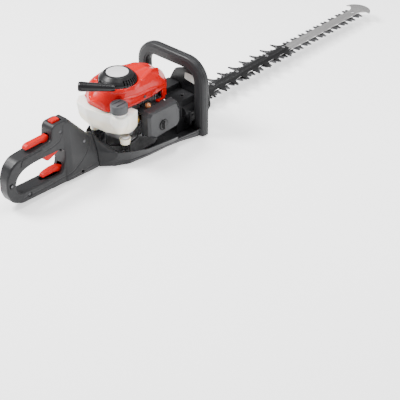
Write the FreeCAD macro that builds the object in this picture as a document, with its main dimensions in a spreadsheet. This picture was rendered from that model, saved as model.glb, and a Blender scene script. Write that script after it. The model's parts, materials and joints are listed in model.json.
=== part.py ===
import FreeCAD, Part
import math
import os
import re
from types import SimpleNamespace

import Sketcher
from FreeCAD import Placement, Rotation, Vector

# Petrol hedge trimmer, in millimetres.
# +X runs forward to the blade tip, +Y to the left and +Z up.  The origin is on
# the underside of the base, straight below the engine's vertical crankshaft.

doc = FreeCAD.newDocument("HedgeTrimmer")
sheet = doc.addObject("Spreadsheet::Sheet", "Sizes")

SIZES = {
    # general
    "wall": 3.0,
    "running_fit": 0.05,
    "seat_gap": 0.02,
    "screw_rad": 2.0,
    "screw_head_rad": 3.8,
    # crank train: vertical crankshaft, cylinder lying forward along +X
    "crank_throw": 15.0,
    "cylinder_z": 110.0,
    "crankpin_rad": 6.0,
    "web_rad": 22.0,
    "web_depth": 7.6,
    "rod_depth": 11.6,
    "web_clearance": 0.4,
    "journal_rad": 7.5,
    "shaft_bottom_z": 59.0,
    "shaft_shoulder_z": 147.0,
    "shaft_seat_rad": 6.0,
    "shaft_top_z": 184.0,
    "rod_length": 48.0,
    "rod_big_rad": 9.0,
    "rod_small_rad": 7.0,
    "piston_pin_rad": 4.0,
    "piston_rad": 17.42,
    "piston_length": 28.0,
    # crankcase and cylinder
    "case_rad": 31.0,
    "case_bottom_z": 82.0,
    "case_top_z": 138.0,
    "cavity_rad": 25.0,
    "cavity_bottom_z": 92.0,
    "cavity_top_z": 128.0,
    "bearing_rad": 11.0,
    "bearing_depth": 6.0,
    "flange_x": 36.0,
    "bore_rad": 17.5,
    "barrel_rad": 22.0,
    "head_x": 102.0,
    "fin_half": 29.0,
    "fin_depth": 1.8,
    "fin_pitch": 6.0,
    "fin_first_x": 44.0,
    "fin_count": 10,
    # flywheel fan and starter
    "flywheel_rad": 42.0,
    "flywheel_z": 142.0,
    "flywheel_disc": 7.0,
    "fan_top_z": 182.0,
    "hub_top_z": 176.0,
    "fan_inner_rad": 24.0,
    "fan_blades": 16,
    "reel_rad": 40.0,
    "reel_groove_rad": 36.0,
    "reel_z": 201.5,
    "reel_depth": 9.0,
    "post_rad": 6.0,
    "rope_rad": 1.75,
    "rope_line": 38.0,
    "rope_z": 206.0,
    "cover_base_rad": 48.0,
    "cover_top_rad": 34.0,
    "cover_base_z": 198.0,
    "cover_top_z": 220.5,
    "badge_rad": 27.4,
    "badge_depth": 1.5,
    "starter_slots": 38,
    "grip_rad": 12.5,
    "grip_length": 89.0,
    "grip_distance": 61.5,
    "grip_z": 210.0,
    "grip_offset": 40.5,
    # clutch and gearing
    "drum_rad": 30.0,
    "drum_inner_rad": 27.0,
    "drum_bottom_z": 55.0,
    "drum_top_z": 76.0,
    "shoe_rad": 26.4,
    "housing_rad": 36.0,
    "housing_inner_rad": 33.0,
    "gear_module": 1.5,
    "pinion_teeth": 10,
    "gear_teeth": 46,
    "gear_axis_x": 42.0,
    "gear_z": 38.5,
    "gear_depth": 7.0,
    "gear_shaft_rad": 6.0,
    "stroke_half": 8.0,
    "yoke_half": 27.0,
    "yoke_reach": 35.0,
    "cam_rad": 14.5,
    # gear case
    "case_floor_z": 9.0,
    "case_roof_z": 46.0,
    "case_lid_z": 53.5,
    "case_side": 52.0,
    "case_front_x": 136.0,
    "lug_half": 26.0,
    # cutter
    "blade_depth": 2.2,
    "lower_blade_z": 29.0,
    "upper_blade_z": 31.3,
    "bar_z": 33.6,
    "bar_depth": 3.0,
    "bar_half": 15.0,
    "bar_rear_x": 92.0,
    "bar_tip_x": 1027.0,
    "tip_rad": 43.0,
    "blade_front_x": 985.0,
    "blade_half": 14.0,
    "tooth_reach": 31.0,
    "tooth_pitch": 35.0,
    "tooth_first_x": 250.0,
    "tooth_count": 21,
    "tooth_root": 17.0,
    "tooth_tip": 5.0,
    "blade_phase": 16.0,
    "guard_rear_x": 150.0,
    "guard_front_x": 660.0,
    "guard_depth": 2.4,
    "guard_half": 15.5,
    "spine_half": 10.5,
    "spine_rise": 4.0,
    "hook_pitch": 45.0,
    "hook_reach": 44.0,
    "hook_first_x": 229.0,
    "hook_count": 10,
    "bolt_rad": 2.5,
    "bolt_head_rad": 4.5,
    # chassis
    "rim_z": 45.0,
    "front_rim_z": 26.0,
    "floor_depth": 3.0,
    "seam_x": -98.0,
    "seam_gap": 0.5,
    "swivel_z": 46.0,
    "neck_rad": 9.5,
    "neck_bore_rad": 6.0,
    "collar_rad": 13.0,
    "lock_circle_rad": 16.5,
    "lock_pin_rad": 2.0,
    "handle_x": 193.0,
    "handle_half": 98.0,
    "handle_top_z": 193.0,
    "handle_bend": 46.0,
    "handle_section_y": 34.0,
    "handle_section_x": 28.0,
    "deck_z": 92.0,
    "deck_rear_x": 146.0,
    "deck_front_x": 214.0,
    "deck_half": 57.0,
    # rear handle
    "grip_half": 19.0,
    "shell": 3.0,
}

for row, (alias, value) in enumerate(SIZES.items(), start=1):
    sheet.set("A%d" % row, alias)
    sheet.set("B%d" % row, str(value))
    sheet.setAlias("B%d" % row, alias)
doc.recompute()

S = SimpleNamespace(**{alias: float(sheet.get(alias)) for alias in SIZES})
NAMES = re.compile(r"\b(%s)\b" % "|".join(SIZES))
nodes = []


# ---------------------------------------------------------------- helpers

def formula(text):
    """Turn a size written with sheet names into an expression."""
    return NAMES.sub(lambda match: "Sizes." + match.group(1), str(text))


def bind(item, **sizes):
    for name, text in sizes.items():
        item.setExpression(name, formula(text))
    return item


def place(item, at, axis="Z", turn=0):
    """Put an item at a point, with its own Z axis along the named axis."""
    lean = {
        "Z": Rotation(),
        "X": Rotation(Vector(0, 1, 0), 90),
        "Y": Rotation(Vector(1, 0, 0), -90),
    }[axis]
    item.Placement = Placement(Vector(), Rotation(Vector(0, 0, 1), turn) * lean)
    for letter, text in zip("xyz", at):
        item.setExpression("Placement.Base." + letter, formula(text))
    return item


def cylinder(name, radius, height, at, axis="Z"):
    item = doc.addObject("Part::Cylinder", name)
    bind(item, Radius=radius, Height=height)
    return place(item, at, axis)


def cone(name, radius, end_radius, height, at, axis="Z"):
    item = doc.addObject("Part::Cone", name)
    bind(item, Radius1=radius, Radius2=end_radius, Height=height)
    return place(item, at, axis)


def block(name, size, at, turn=0):
    item = doc.addObject("Part::Box", name)
    bind(item, Length=size[0], Width=size[1], Height=size[2])
    return place(item, at, "Z", turn)


def hexagon(name, radius, height, at, axis="Z"):
    item = doc.addObject("Part::Prism", name)
    item.Polygon = 6
    bind(item, Circumradius=radius, Height=height)
    return place(item, at, axis)


def fuse(name, *shapes):
    item = doc.addObject("Part::MultiFuse", name)
    item.Shapes = list(shapes)
    return item


def cut(name, base, *tools):
    item = doc.addObject("Part::Cut", name)
    item.Base = base
    item.Tool = tools[0] if len(tools) == 1 else fuse(name + "Tools", *tools)
    return item


def group(name, *shapes):
    """Several separate solids that share one node."""
    item = doc.addObject("Part::Compound", name)
    item.Links = list(shapes)
    return item


def tube(name, radius, inner, height, at, axis="Z"):
    along = "XYZ".index(axis)
    inner_at = list(at)
    inner_at[along] = "(%s) - 1" % at[along]
    outside = cylinder(name + "Outside", radius, height, at, axis)
    inside = cylinder(name + "Inside", inner, "(%s) + 2" % height, inner_at, axis)
    return cut(name, outside, inside)


def feature(name, shape):
    item = doc.addObject("Part::Feature", name)
    item.Shape = shape
    item.Placement = Placement()
    return item


def node(label, item):
    """Name a finished sub-part: its label is its node and its file."""
    item.Label = label
    nodes.append(item)
    return item


def body(name):
    return doc.addObject("PartDesign::Body", name)


def origin_plane(owner, role):
    return next(part for part in owner.Origin.OriginFeatures if part.Role == role)


def sketch_on(owner, name, role="XY_Plane", height=None):
    item = owner.newObject("Sketcher::SketchObject", name)
    item.AttachmentSupport = (origin_plane(owner, role), [""])
    item.MapMode = "FlatFace"
    if height is not None:
        item.setExpression("AttachmentOffset.Base.z", formula(height))
    return item


def polyline(sketch, corners, closed=True):
    """Join corners by lines and bind each corner to its size formulas."""
    points = [Vector(evaluate(x), evaluate(y), 0) for x, y in corners]
    count = len(points)
    first = sketch.GeometryCount
    spans = count if closed else count - 1
    for index in range(spans):
        line = Part.LineSegment(points[index], points[(index + 1) % count])
        sketch.addGeometry(line, False)
    joins = spans if closed else spans - 1
    for index in range(joins):
        following = first + (index + 1) % spans
        sketch.addConstraint(Sketcher.Constraint("Coincident", first + index, 2, following, 1))
    for index, (x, y) in enumerate(corners):
        line, end = (first + index, 1) if index < spans else (first + index - 1, 2)
        pin_point(sketch, line, end, x, y, points[index])
    return first


def pin_point(sketch, geometry, end, x, y, point):
    for kind, text, value in (("DistanceX", x, point.x), ("DistanceY", y, point.y)):
        number = sketch.addConstraint(Sketcher.Constraint(kind, -1, 1, geometry, end, value))
        sketch.setExpression("Constraints[%d]" % number, formula(text))


def circle(sketch, x, y, radius):
    centre = Vector(evaluate(x), evaluate(y), 0)
    ring = Part.Circle(centre, Vector(0, 0, 1), evaluate(radius))
    number = sketch.addGeometry(ring, False)
    pin_point(sketch, number, 3, x, y, centre)
    bound = sketch.addConstraint(Sketcher.Constraint("Radius", number, evaluate(radius)))
    sketch.setExpression("Constraints[%d]" % bound, formula(radius))
    return number


def evaluate(text):
    """Value of a size formula, worked out by the sheet itself."""
    return float(sheet.evalExpression(formula(text)))


def pad(owner, name, sketch, length, reverse=False):
    item = owner.newObject("PartDesign::Pad", name)
    item.Profile = sketch
    item.Reversed = reverse
    bind(item, Length=length)
    sketch.Visibility = False
    return item


def pocket(owner, name, sketch, length, reverse=False):
    item = owner.newObject("PartDesign::Pocket", name)
    item.Profile = sketch
    item.Reversed = reverse
    bind(item, Length=length)
    return item


def row_of(owner, name, original, sketch, axis, pitch, count):
    """Repeat a feature along a sketch axis."""
    item = owner.newObject("PartDesign::LinearPattern", name)
    item.Originals = [original]
    item.Direction = (sketch, [axis])
    bind(item, Length="%s * (%s - 1)" % (pitch, count), Occurrences=count)
    owner.Tip = item
    return item


def prism(corners, low, high, normal="Z"):
    """Straight prism of a polygon, used where an outline is free-form."""
    lift = {
        "Z": lambda a, b, level: Vector(a, b, level),
        "Y": lambda a, b, level: Vector(a, level, b),
        "X": lambda a, b, level: Vector(level, a, b),
    }[normal]
    points = [lift(a, b, low) for a, b in corners]
    face = Part.Face(Part.makePolygon(points + points[:1]))
    along = lift(0, 0, high) - lift(0, 0, low)
    return face.extrude(along)


def loft(sections):
    """Ruled solid through closed polygons with equal corner counts."""
    wires = [Part.makePolygon(points + points[:1]) for points in sections]
    return Part.makeLoft(wires, True, True)


def level(corners, height):
    return [Vector(x, y, height) for x, y in corners]


def station(corners, x):
    return [Vector(x, y, height) for y, height in corners]


def mirrored(corners):
    """Close a half outline of (half width, height) pairs across Y = 0."""
    return corners + [(-a, b) for a, b in reversed(corners)]


def shrunk(corners, margin):
    """Polygon moved inwards by a margin, with the same corner count."""
    count = len(corners)
    area = sum(
        corners[i][0] * corners[(i + 1) % count][1] - corners[(i + 1) % count][0] * corners[i][1]
        for i in range(count)
    )
    turn = 1 if area > 0 else -1
    result = []
    for i in range(count):
        before, here, after = corners[i - 1], corners[i], corners[(i + 1) % count]
        first = unit_normal(before, here, turn)
        second = unit_normal(here, after, turn)
        blend = 1 + first[0] * second[0] + first[1] * second[1]
        result.append((
            here[0] + margin * (first[0] + second[0]) / blend,
            here[1] + margin * (first[1] + second[1]) / blend,
        ))
    return result


def unit_normal(start, end, turn):
    run = (end[0] - start[0], end[1] - start[1])
    size = math.hypot(*run)
    return (-run[1] / size * turn, run[0] / size * turn)


def smooth_corners(corners, radius, steps=4):
    """Polygon whose corners are cut by short chords of an arc."""
    result = []
    count = len(corners)
    for i in range(count):
        before, here, after = corners[i - 1], corners[i], corners[(i + 1) % count]
        reach = min(radius, 0.45 * math.dist(before, here), 0.45 * math.dist(here, after))
        start = towards(here, before, reach)
        end = towards(here, after, reach)
        for step in range(steps + 1):
            t = step / steps
            result.append(tuple(
                (1 - t) ** 2 * start[k] + 2 * t * (1 - t) * here[k] + t ** 2 * end[k]
                for k in (0, 1)
            ))
    return result


def towards(here, there, reach):
    ratio = reach / math.dist(here, there)
    return (here[0] + (there[0] - here[0]) * ratio, here[1] + (there[1] - here[1]) * ratio)


# ---------------------------------------------------------------- cutter

def tooth_corners(side, first_x):
    """One trapezoid blade tooth on the left (1) or right (-1) edge."""
    lead = "(tooth_root - tooth_tip) / 2"
    root_y = "%d * (blade_half - 1)" % side
    tip_y = "%d * tooth_reach" % side
    return [
        (first_x, root_y),
        ("%s + tooth_root" % first_x, root_y),
        ("%s + tooth_root - %s" % (first_x, lead), tip_y),
        ("%s + %s" % (first_x, lead), tip_y),
    ]


def make_blade(label, height, first_x):
    """Toothed blade: rear yoke plate, spine, teeth, cam window and bolt slots."""
    owner = body(label)
    outline = sketch_on(owner, label + "Outline", height=height)
    polyline(outline, [
        ("gear_axis_x - yoke_reach", "-yoke_half"), ("gear_axis_x + yoke_reach", "-yoke_half"),
        ("case_front_x - 52", "-blade_half"), ("blade_front_x - 6", "-blade_half"),
        ("blade_front_x", "-blade_half + 6"), ("blade_front_x", "blade_half - 6"),
        ("blade_front_x - 6", "blade_half"), ("case_front_x - 52", "blade_half"),
        ("gear_axis_x + yoke_reach", "yoke_half"), ("gear_axis_x - yoke_reach", "yoke_half"),
    ])
    pad(owner, label + "Spine", outline, "blade_depth")
    for side in (1, -1):
        name = label + ("Left" if side > 0 else "Right")
        tooth = sketch_on(owner, name + "Tooth", height=height)
        polyline(tooth, tooth_corners(side, first_x))
        first = pad(owner, name + "First", tooth, "blade_depth")
        row_of(owner, name + "Teeth", first, tooth, "H_Axis", "tooth_pitch", "tooth_count")
    window = sketch_on(owner, label + "Window", height=height)
    reach = "(cam_rad + 2 * stroke_half + 0.5)"
    side = "(cam_rad + stroke_half + 0.5)"
    polyline(window, [
        ("gear_axis_x - %s" % reach, "-%s" % side), ("gear_axis_x + %s" % reach, "-%s" % side),
        ("gear_axis_x + %s" % reach, side), ("gear_axis_x - %s" % reach, side),
    ])
    pocket(owner, label + "CamWindow", window, "blade_depth", reverse=True)
    slots = sketch_on(owner, label + "Slots", height=height)
    for x in BOLT_X + LUG_BOLT_X:
        half = "stroke_half + bolt_rad + 1"
        width = "bolt_rad + 0.3"
        polyline(slots, [
            ("%s - (%s)" % (x, half), "-(%s)" % width), ("%s + (%s)" % (x, half), "-(%s)" % width),
            ("%s + (%s)" % (x, half), width), ("%s - (%s)" % (x, half), width),
        ])
    pocket(owner, label + "BoltSlots", slots, "blade_depth", reverse=True)
    return node(label, owner)


BOLT_X = (252, 348, 445, 570, 642, 968)
LUG_BOLT_X = (104, 130)


def make_guide_bar():
    """Silver bar over the blades, ending in a crescent that shields the tip."""
    rear, half = S.bar_rear_x, S.bar_half
    z, depth = S.bar_z, S.bar_depth
    horn_x = S.bar_tip_x - S.tip_rad
    spine = prism([(rear, -half), (horn_x + 4, -half), (horn_x + 4, half), (rear, half)], z, z + depth)
    disc = Part.makeCylinder(S.tip_rad, depth, Vector(horn_x, 0, z))
    rear_gap = prism(smooth_corners([
        (horn_x - 60, half), (horn_x - 4, half), (horn_x + 15, S.tip_rad - 12),
        (horn_x + 6, S.tip_rad + 5), (horn_x - 60, S.tip_rad + 5),
    ], 12), z - 1, z + depth + 1)
    other_gap = rear_gap.mirror(Vector(), Vector(0, 1, 0))
    shape = spine.fuse(disc).cut(rear_gap.fuse(other_gap)).removeSplitter()
    for x in BOLT_X + LUG_BOLT_X:
        shape = shape.cut(Part.makeCylinder(S.bolt_rad + 0.05, depth + 2, Vector(x, 0, z - 1)))
    return node("guide_bar", feature("guide_bar", shape))


def hook_corners(side, x):
    """Blunt guard tooth: upright rear edge, hollow front edge."""
    reach = S.hook_reach
    root = S.guard_half - 1
    profile = [
        (x, root), (x, reach - 2), (x + 2.5, reach), (x + 5.5, reach - 3), (x + 8, reach - 11),
        (x + 12.5, reach - 19), (x + 19, root + 5), (x + 28, root + 2), (x + 40, root),
    ]
    return [(a, side * b) for a, b in profile]


def make_blade_guard():
    """Black guard plate on top of the bar, with hooks and a raised spine."""
    z = S.bar_z + S.bar_depth + 0.1
    rear, front = S.guard_rear_x, S.guard_front_x
    plate = prism([
        (rear, -S.guard_half), (front - 14, -S.guard_half), (front, -6),
        (front, 6), (front - 14, S.guard_half), (rear, S.guard_half),
    ], z, z + S.guard_depth)
    for side, shift in ((1, 0), (-1, -11)):
        for index in range(int(S.hook_count)):
            x = S.hook_first_x + shift + index * S.hook_pitch
            plate = plate.fuse(prism(hook_corners(side, x), z, z + S.guard_depth))
    top = z + S.guard_depth
    low, high = S.spine_half, S.spine_half - 2.5
    spine = loft([
        level([(rear, -low), (front - 12, -low), (front - 12, low), (rear, low)], top - 0.5),
        level([(rear, -high), (front - 16, -high), (front - 16, high), (rear, high)], top + S.spine_rise),
    ])
    shape = plate.fuse(spine).removeSplitter()
    for x in BOLT_X[:5]:
        shape = shape.cut(Part.makeCylinder(S.bolt_rad + 0.05, 20, Vector(x, 0, z - 1)))
    return node("blade_guard", feature("blade_guard", shape))


def bar_bolt(index, x, seat_z, foot_z):
    """Bolt through bar and blades, with a washer and a nut underneath."""
    name = "BarBolt%d" % index
    head = cylinder(name + "Head", "bolt_head_rad", 2.4, (x, 0, seat_z))
    shank = cylinder(name + "Shank", "bolt_rad", "%s - %s + 0.5" % (seat_z, foot_z), (x, 0, foot_z))
    washer = cylinder(name + "Washer", "bolt_head_rad + 2.5", 1.2, (x, 0, "lower_blade_z - 1.3"))
    nut = hexagon(name + "Nut", 4.6, 3, (x, 0, "lower_blade_z - 4.3"))
    return fuse(name, head, shank, washer, nut)


def make_bar_bolts():
    guard_top = "bar_z + bar_depth + guard_depth + spine_rise + 0.12"
    bar_top = "bar_z + bar_depth + 0.02"
    foot = "lower_blade_z - 4.6"
    bolts = [bar_bolt(i, x, guard_top, foot) for i, x in enumerate(BOLT_X[:5])]
    bolts.append(bar_bolt(5, BOLT_X[5], bar_top, foot))
    return node("bar_bolts", group("bar_bolts", *bolts))


# ---------------------------------------------------------------- gearing

def gear_profile(teeth, axis_x, turn):
    """Involute gear outline with short teeth and a little backlash."""
    module = S.gear_module
    pitch_rad = module * teeth / 2
    base_rad = pitch_rad * math.cos(math.radians(20))
    tip_rad = pitch_rad + 0.85 * module
    root_rad = pitch_rad - 1.15 * module
    half_tooth = math.pi / (2 * teeth) - 0.11 / pitch_rad

    def roll(rad):
        tangent = math.sqrt(max((rad / base_rad) ** 2 - 1, 0))
        return tangent - math.atan(tangent)

    flank_rads = [max(base_rad, root_rad), pitch_rad, (pitch_rad + tip_rad) / 2, tip_rad]
    flank = [(rad, half_tooth + roll(pitch_rad) - roll(rad)) for rad in flank_rads]
    if root_rad < base_rad:
        flank.insert(0, (root_rad, flank[0][1]))
    points = []
    for tooth in range(teeth):
        middle = turn + 2 * math.pi * tooth / teeth
        left = [(rad, middle - angle) for rad, angle in flank]
        right = [(rad, middle + angle) for rad, angle in reversed(flank)]
        points += [(axis_x + rad * math.cos(a), rad * math.sin(a)) for rad, a in left + right]
    return points


def make_drive_gear():
    """Large gear with its shaft and two opposed cams that swing the blades."""
    x = S.gear_axis_x
    teeth = int(S.gear_teeth)
    half_pitch = math.pi / teeth
    shape = prism(gear_profile(teeth, x, math.pi + half_pitch), S.gear_z, S.gear_z + S.gear_depth)
    shaft = Part.makeCylinder(S.gear_shaft_rad, 41.4, Vector(x, 0, 10))
    upper_start = Vector(x, S.stroke_half, S.upper_blade_z)
    upper = Part.makeCylinder(S.cam_rad, S.gear_z - S.upper_blade_z, upper_start)
    lower = Part.makeCylinder(S.cam_rad, 2.4, Vector(x, -S.stroke_half, S.upper_blade_z - 2.35))
    shape = shape.fuse([shaft, upper, lower])
    for index in range(5):
        angle = math.radians(36 + 72 * index)
        spot = Vector(x + 24 * math.cos(angle), 24 * math.sin(angle), S.gear_z - 1)
        shape = shape.cut(Part.makeCylinder(5, S.gear_depth + 2, spot))
    return node("drive_gear", feature("drive_gear", shape.removeSplitter()))


def make_clutch_drum():
    """Bell that the shoes grip, with the pinion cut on its shaft."""
    wall = Part.makeCylinder(S.drum_rad, S.drum_top_z - S.drum_bottom_z, Vector(0, 0, S.drum_bottom_z))
    inside = Part.makeCylinder(S.drum_inner_rad, 40, Vector(0, 0, S.drum_bottom_z + 2.5))
    shaft = Part.makeCylinder(S.gear_shaft_rad, 12, Vector(0, 0, S.gear_z + S.gear_depth))
    pinion = prism(gear_profile(int(S.pinion_teeth), 0, 0), S.gear_z, S.gear_z + S.gear_depth)
    shape = wall.cut(inside).fuse([shaft, pinion])
    for index in range(6):
        angle = math.radians(60 * index)
        spot = Vector(18 * math.cos(angle), 18 * math.sin(angle), S.drum_bottom_z - 1)
        shape = shape.cut(Part.makeCylinder(3.5, 5, spot))
    return node("clutch_drum", feature("clutch_drum", shape.removeSplitter()))


def make_clutch_shoes():
    """Two weighted shoes on a hub, thrown outwards when the engine speeds up."""
    hub = tube("ShoeHub", "journal_rad + 3", "journal_rad + seat_gap", 10, (0, 0, 61))
    ring = tube("ShoeRing", "shoe_rad", "shoe_rad - 9", 10, (0, 0, 61))
    gap = block("ShoeGap", (70, 5, 12), (-35, -2.5, 60))
    shoes = cut("ShoePair", ring, gap)
    arm = block("ShoeArm", (8, 40, 6), (-4, -20, 63))
    bore = cylinder("ShoeArmBore", "journal_rad + seat_gap", 12, (0, 0, 60))
    arms = cut("ShoeArms", arm, bore)
    return node("clutch_shoes", fuse("clutch_shoes", hub, shoes, arms))


def case_outline(margin):
    """Plan of the gear case: round about the gear, with a nose for the bar."""
    side, nose = S.case_side, S.lug_half
    corners = [
        (-20, -24), (-2, -side + 4), (80, -side + 4), (98, -nose),
        (S.case_front_x, -nose), (S.case_front_x, nose), (98, nose), (80, side - 4),
        (-2, side - 4), (-20, 24),
    ]
    return shrunk(smooth_corners(corners, 10), margin)


def make_gear_case():
    """Aluminium case over the gears and blade yokes, with a pad for the bar."""
    shape = prism(case_outline(0), S.case_floor_z, S.case_lid_z)
    inside = prism(case_outline(5), S.case_floor_z - 1, S.case_roof_z)
    front = Part.makeBox(60, 60, 50, Vector(94, -30, S.case_floor_z - 1))
    shape = shape.cut(inside.cut(front))
    slot = Part.makeBox(60, 32, S.bar_z - S.lower_blade_z + 0.6, Vector(90, -16, S.lower_blade_z - 0.5))
    bar_slot = Part.makeBox(60, 2 * S.bar_half + 0.4, S.bar_depth + 0.04,
                            Vector(90, -S.bar_half - 0.2, S.bar_z - 0.02))
    shape = shape.cut(slot.fuse(bar_slot))
    for x in (0, S.gear_axis_x):
        shape = shape.cut(Part.makeCylinder(S.bearing_rad, 6, Vector(x, 0, S.case_roof_z - 1)))
        shape = shape.cut(Part.makeCylinder(S.gear_shaft_rad + 1, 12, Vector(x, 0, S.case_roof_z - 2)))
    for x in LUG_BOLT_X:
        shape = shape.cut(Part.makeCylinder(S.bolt_rad + 0.05, 60, Vector(x, 0, 5)))
    for x, y in CASE_SCREWS[:4]:
        shape = shape.fuse(Part.makeCylinder(6, S.case_roof_z - S.case_floor_z, Vector(x, y, S.case_floor_z)))
    for x, y in CASE_SCREWS:
        shape = shape.cut(Part.makeCylinder(S.screw_rad + 0.02, 16, Vector(x, y, S.case_floor_z - 1)))
    return node("gear_case", feature("gear_case", shape.removeSplitter()))


CASE_SCREWS = ((-6, -40), (-6, 40), (84, -38), (84, 38), (118, -21), (118, 21))


def make_gear_case_cover():
    """Flat steel plate that closes the case from below."""
    shape = prism(case_outline(0.5), S.case_floor_z - 3, S.case_floor_z - 0.02)
    boss = Part.makeCylinder(14, 6.5, Vector(S.gear_axis_x, 0, S.case_floor_z - 1))
    seat = Part.makeCylinder(S.bearing_rad, 8, Vector(S.gear_axis_x, 0, S.case_floor_z - 0.5))
    shape = shape.fuse(boss).cut(seat)
    for x, y in CASE_SCREWS:
        shape = shape.cut(Part.makeCylinder(S.screw_rad + 0.1, 8, Vector(x, y, S.case_floor_z - 5)))
    for x in LUG_BOLT_X:
        shape = shape.cut(Part.makeCylinder(S.bolt_rad + 0.05, 60, Vector(x, 0, 0)))
    return node("gear_case_cover", feature("gear_case_cover", shape.removeSplitter()))


def make_case_screws():
    """Case cover screws, the two long bolts through the bar and the shroud screw."""
    screws = []
    for index, (x, y) in enumerate(CASE_SCREWS):
        head = cylinder("CaseScrewHead%d" % index, "screw_head_rad", 2, (x, y, "case_floor_z - 5.02"))
        shank = cylinder("CaseScrewShank%d" % index, "screw_rad", 16, (x, y, "case_floor_z - 3.5"))
        screws.append(fuse("CaseScrew%d" % index, head, shank))
    for index, x in enumerate(LUG_BOLT_X):
        head = cylinder("LugBoltHead%d" % index, "bolt_head_rad", 3, (x, 0, "case_lid_z + 0.02"))
        shank = cylinder("LugBoltShank%d" % index, "bolt_rad", "case_lid_z - case_floor_z + 5",
                         (x, 0, "case_floor_z - 4"))
        screws.append(fuse("LugBolt%d" % index, head, shank))
    shroud_head = cylinder("ShroudScrewHead", "screw_head_rad", 2.6, (38, -54.22, 157), "Y")
    shroud_shank = cylinder("ShroudScrewShank", "screw_rad", 16, (38, -52, 157), "Y")
    screws.append(fuse("ShroudScrew", shroud_head, shroud_shank))
    return node("case_screws", group("case_screws", *screws))


def make_ball_bearings():
    """Rings that carry the pinion shaft, the gear shaft and the crankshaft."""
    rings = []
    spots = (
        (0, "case_roof_z + 0.1"),
        ("gear_axis_x", "case_roof_z + 0.1"),
        ("gear_axis_x", "case_floor_z - 0.4"),
    )
    for index, (x, z) in enumerate(spots):
        rings.append(tube("GearBearing%d" % index, "bearing_rad - seat_gap",
                          "gear_shaft_rad + running_fit", 4.8, (x, 0, z)))
    for index, z in enumerate(("cavity_bottom_z - bearing_depth", "cavity_top_z + 0.5")):
        rings.append(tube("CrankBearing%d" % index, "bearing_rad - seat_gap",
                          "journal_rad + running_fit", "bearing_depth - 0.5", (0, 0, z)))
    return node("ball_bearings", group("ball_bearings", *rings))


# ---------------------------------------------------------------- engine

def make_crankshaft():
    """Built-up shaft: two halves that the crank pin joins, and the flywheel nut."""
    lower_web_z = "cylinder_z - rod_depth / 2 - web_clearance - web_depth"
    upper_web_z = "cylinder_z + rod_depth / 2 + web_clearance"
    lower = fuse(
        "LowerShaft",
        cylinder("LowerWeb", "web_rad", "web_depth", (0, 0, lower_web_z)),
        cylinder("LowerJournal", "journal_rad", "%s - shaft_bottom_z + 1" % lower_web_z,
                 (0, 0, "shaft_bottom_z")),
    )
    upper = fuse(
        "UpperShaft",
        cylinder("UpperWeb", "web_rad", "web_depth", (0, 0, upper_web_z)),
        cylinder("UpperJournal", "journal_rad", "shaft_shoulder_z - (%s)" % upper_web_z,
                 (0, 0, upper_web_z)),
        cylinder("FlywheelSeat", "shaft_seat_rad", "shaft_top_z - shaft_shoulder_z",
                 (0, 0, "shaft_shoulder_z")),
    )
    sockets = cylinder("CrankpinSockets", "crankpin_rad + 0.1", 60,
                       ("crank_throw", 0, "cylinder_z - 30"))
    halves = cut("CrankHalves", group("CrankBlanks", lower, upper), sockets)
    nut = hexagon("NutHex", 9, 5.5, (0, 0, "hub_top_z + 0.02"))
    bore = cylinder("NutBore", "shaft_seat_rad + seat_gap", 12, (0, 0, "hub_top_z - 2"))
    return node("crankshaft", group("crankshaft", halves, cut("FlywheelNut", nut, bore)))


def make_connecting_rod():
    """Rod with the pins it carries at its big and small ends."""
    big = cylinder("RodBigEnd", "rod_big_rad", "rod_depth - 0.4",
                   ("crank_throw", 0, "cylinder_z - rod_depth / 2 + 0.2"))
    small = cylinder("RodSmallEnd", "rod_small_rad", "rod_depth - 0.4",
                     ("crank_throw + rod_length", 0, "cylinder_z - rod_depth / 2 + 0.2"))
    beam = block("RodBeam", ("rod_length", 8, 7), ("crank_throw", -4, "cylinder_z - 3.5"))
    big_bore = cylinder("RodBigBore", "crankpin_rad + seat_gap", 20, ("crank_throw", 0, "cylinder_z - 10"))
    small_bore = cylinder("RodSmallBore", "piston_pin_rad + seat_gap", 20,
                          ("crank_throw + rod_length", 0, "cylinder_z - 10"))
    rod = cut("RodForging", fuse("RodBlank", big, small, beam), big_bore, small_bore)
    pin_place = ("crank_throw", 0, "cylinder_z - rod_depth / 2")
    crank_pin = cylinder("CrankPin", "crankpin_rad", "rod_depth", pin_place)
    wrist_pin = cylinder("WristPin", "piston_pin_rad", "2 * piston_rad - 4",
                         ("crank_throw + rod_length", 0, "cylinder_z - piston_rad + 2"))
    return node("connecting_rod", group("connecting_rod", rod, crank_pin, wrist_pin))


def make_piston():
    """Crown, skirt and a cross bore for the pin, open towards the crank."""
    rear = "crank_throw + rod_length - 8"
    skirt = cylinder("PistonSkirt", "piston_rad", "piston_length", (rear, 0, "cylinder_z"), "X")
    hollow = cylinder("PistonHollow", "piston_rad - 2.5", "piston_length - 5",
                      ("%s - 0.5" % rear, 0, "cylinder_z"), "X")
    bosses = cylinder("PistonBosses", 7, "2 * piston_rad - 3",
                      ("crank_throw + rod_length", 0, "cylinder_z - piston_rad + 1.5"))
    rod_room = cylinder("PistonRodRoom", 12, "rod_depth + 0.6",
                        ("crank_throw + rod_length", 0, "cylinder_z - rod_depth / 2 - 0.3"))
    bore = cylinder("PistonPinBore", "piston_pin_rad + seat_gap", 60,
                    ("crank_throw + rod_length", 0, "cylinder_z - 30"))
    shell = cut("PistonShell", skirt, hollow)
    blank = fuse("PistonBlank", shell, cut("PistonBossPair", bosses, rod_room))
    return node("piston", cut("piston", blank, bore))


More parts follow.
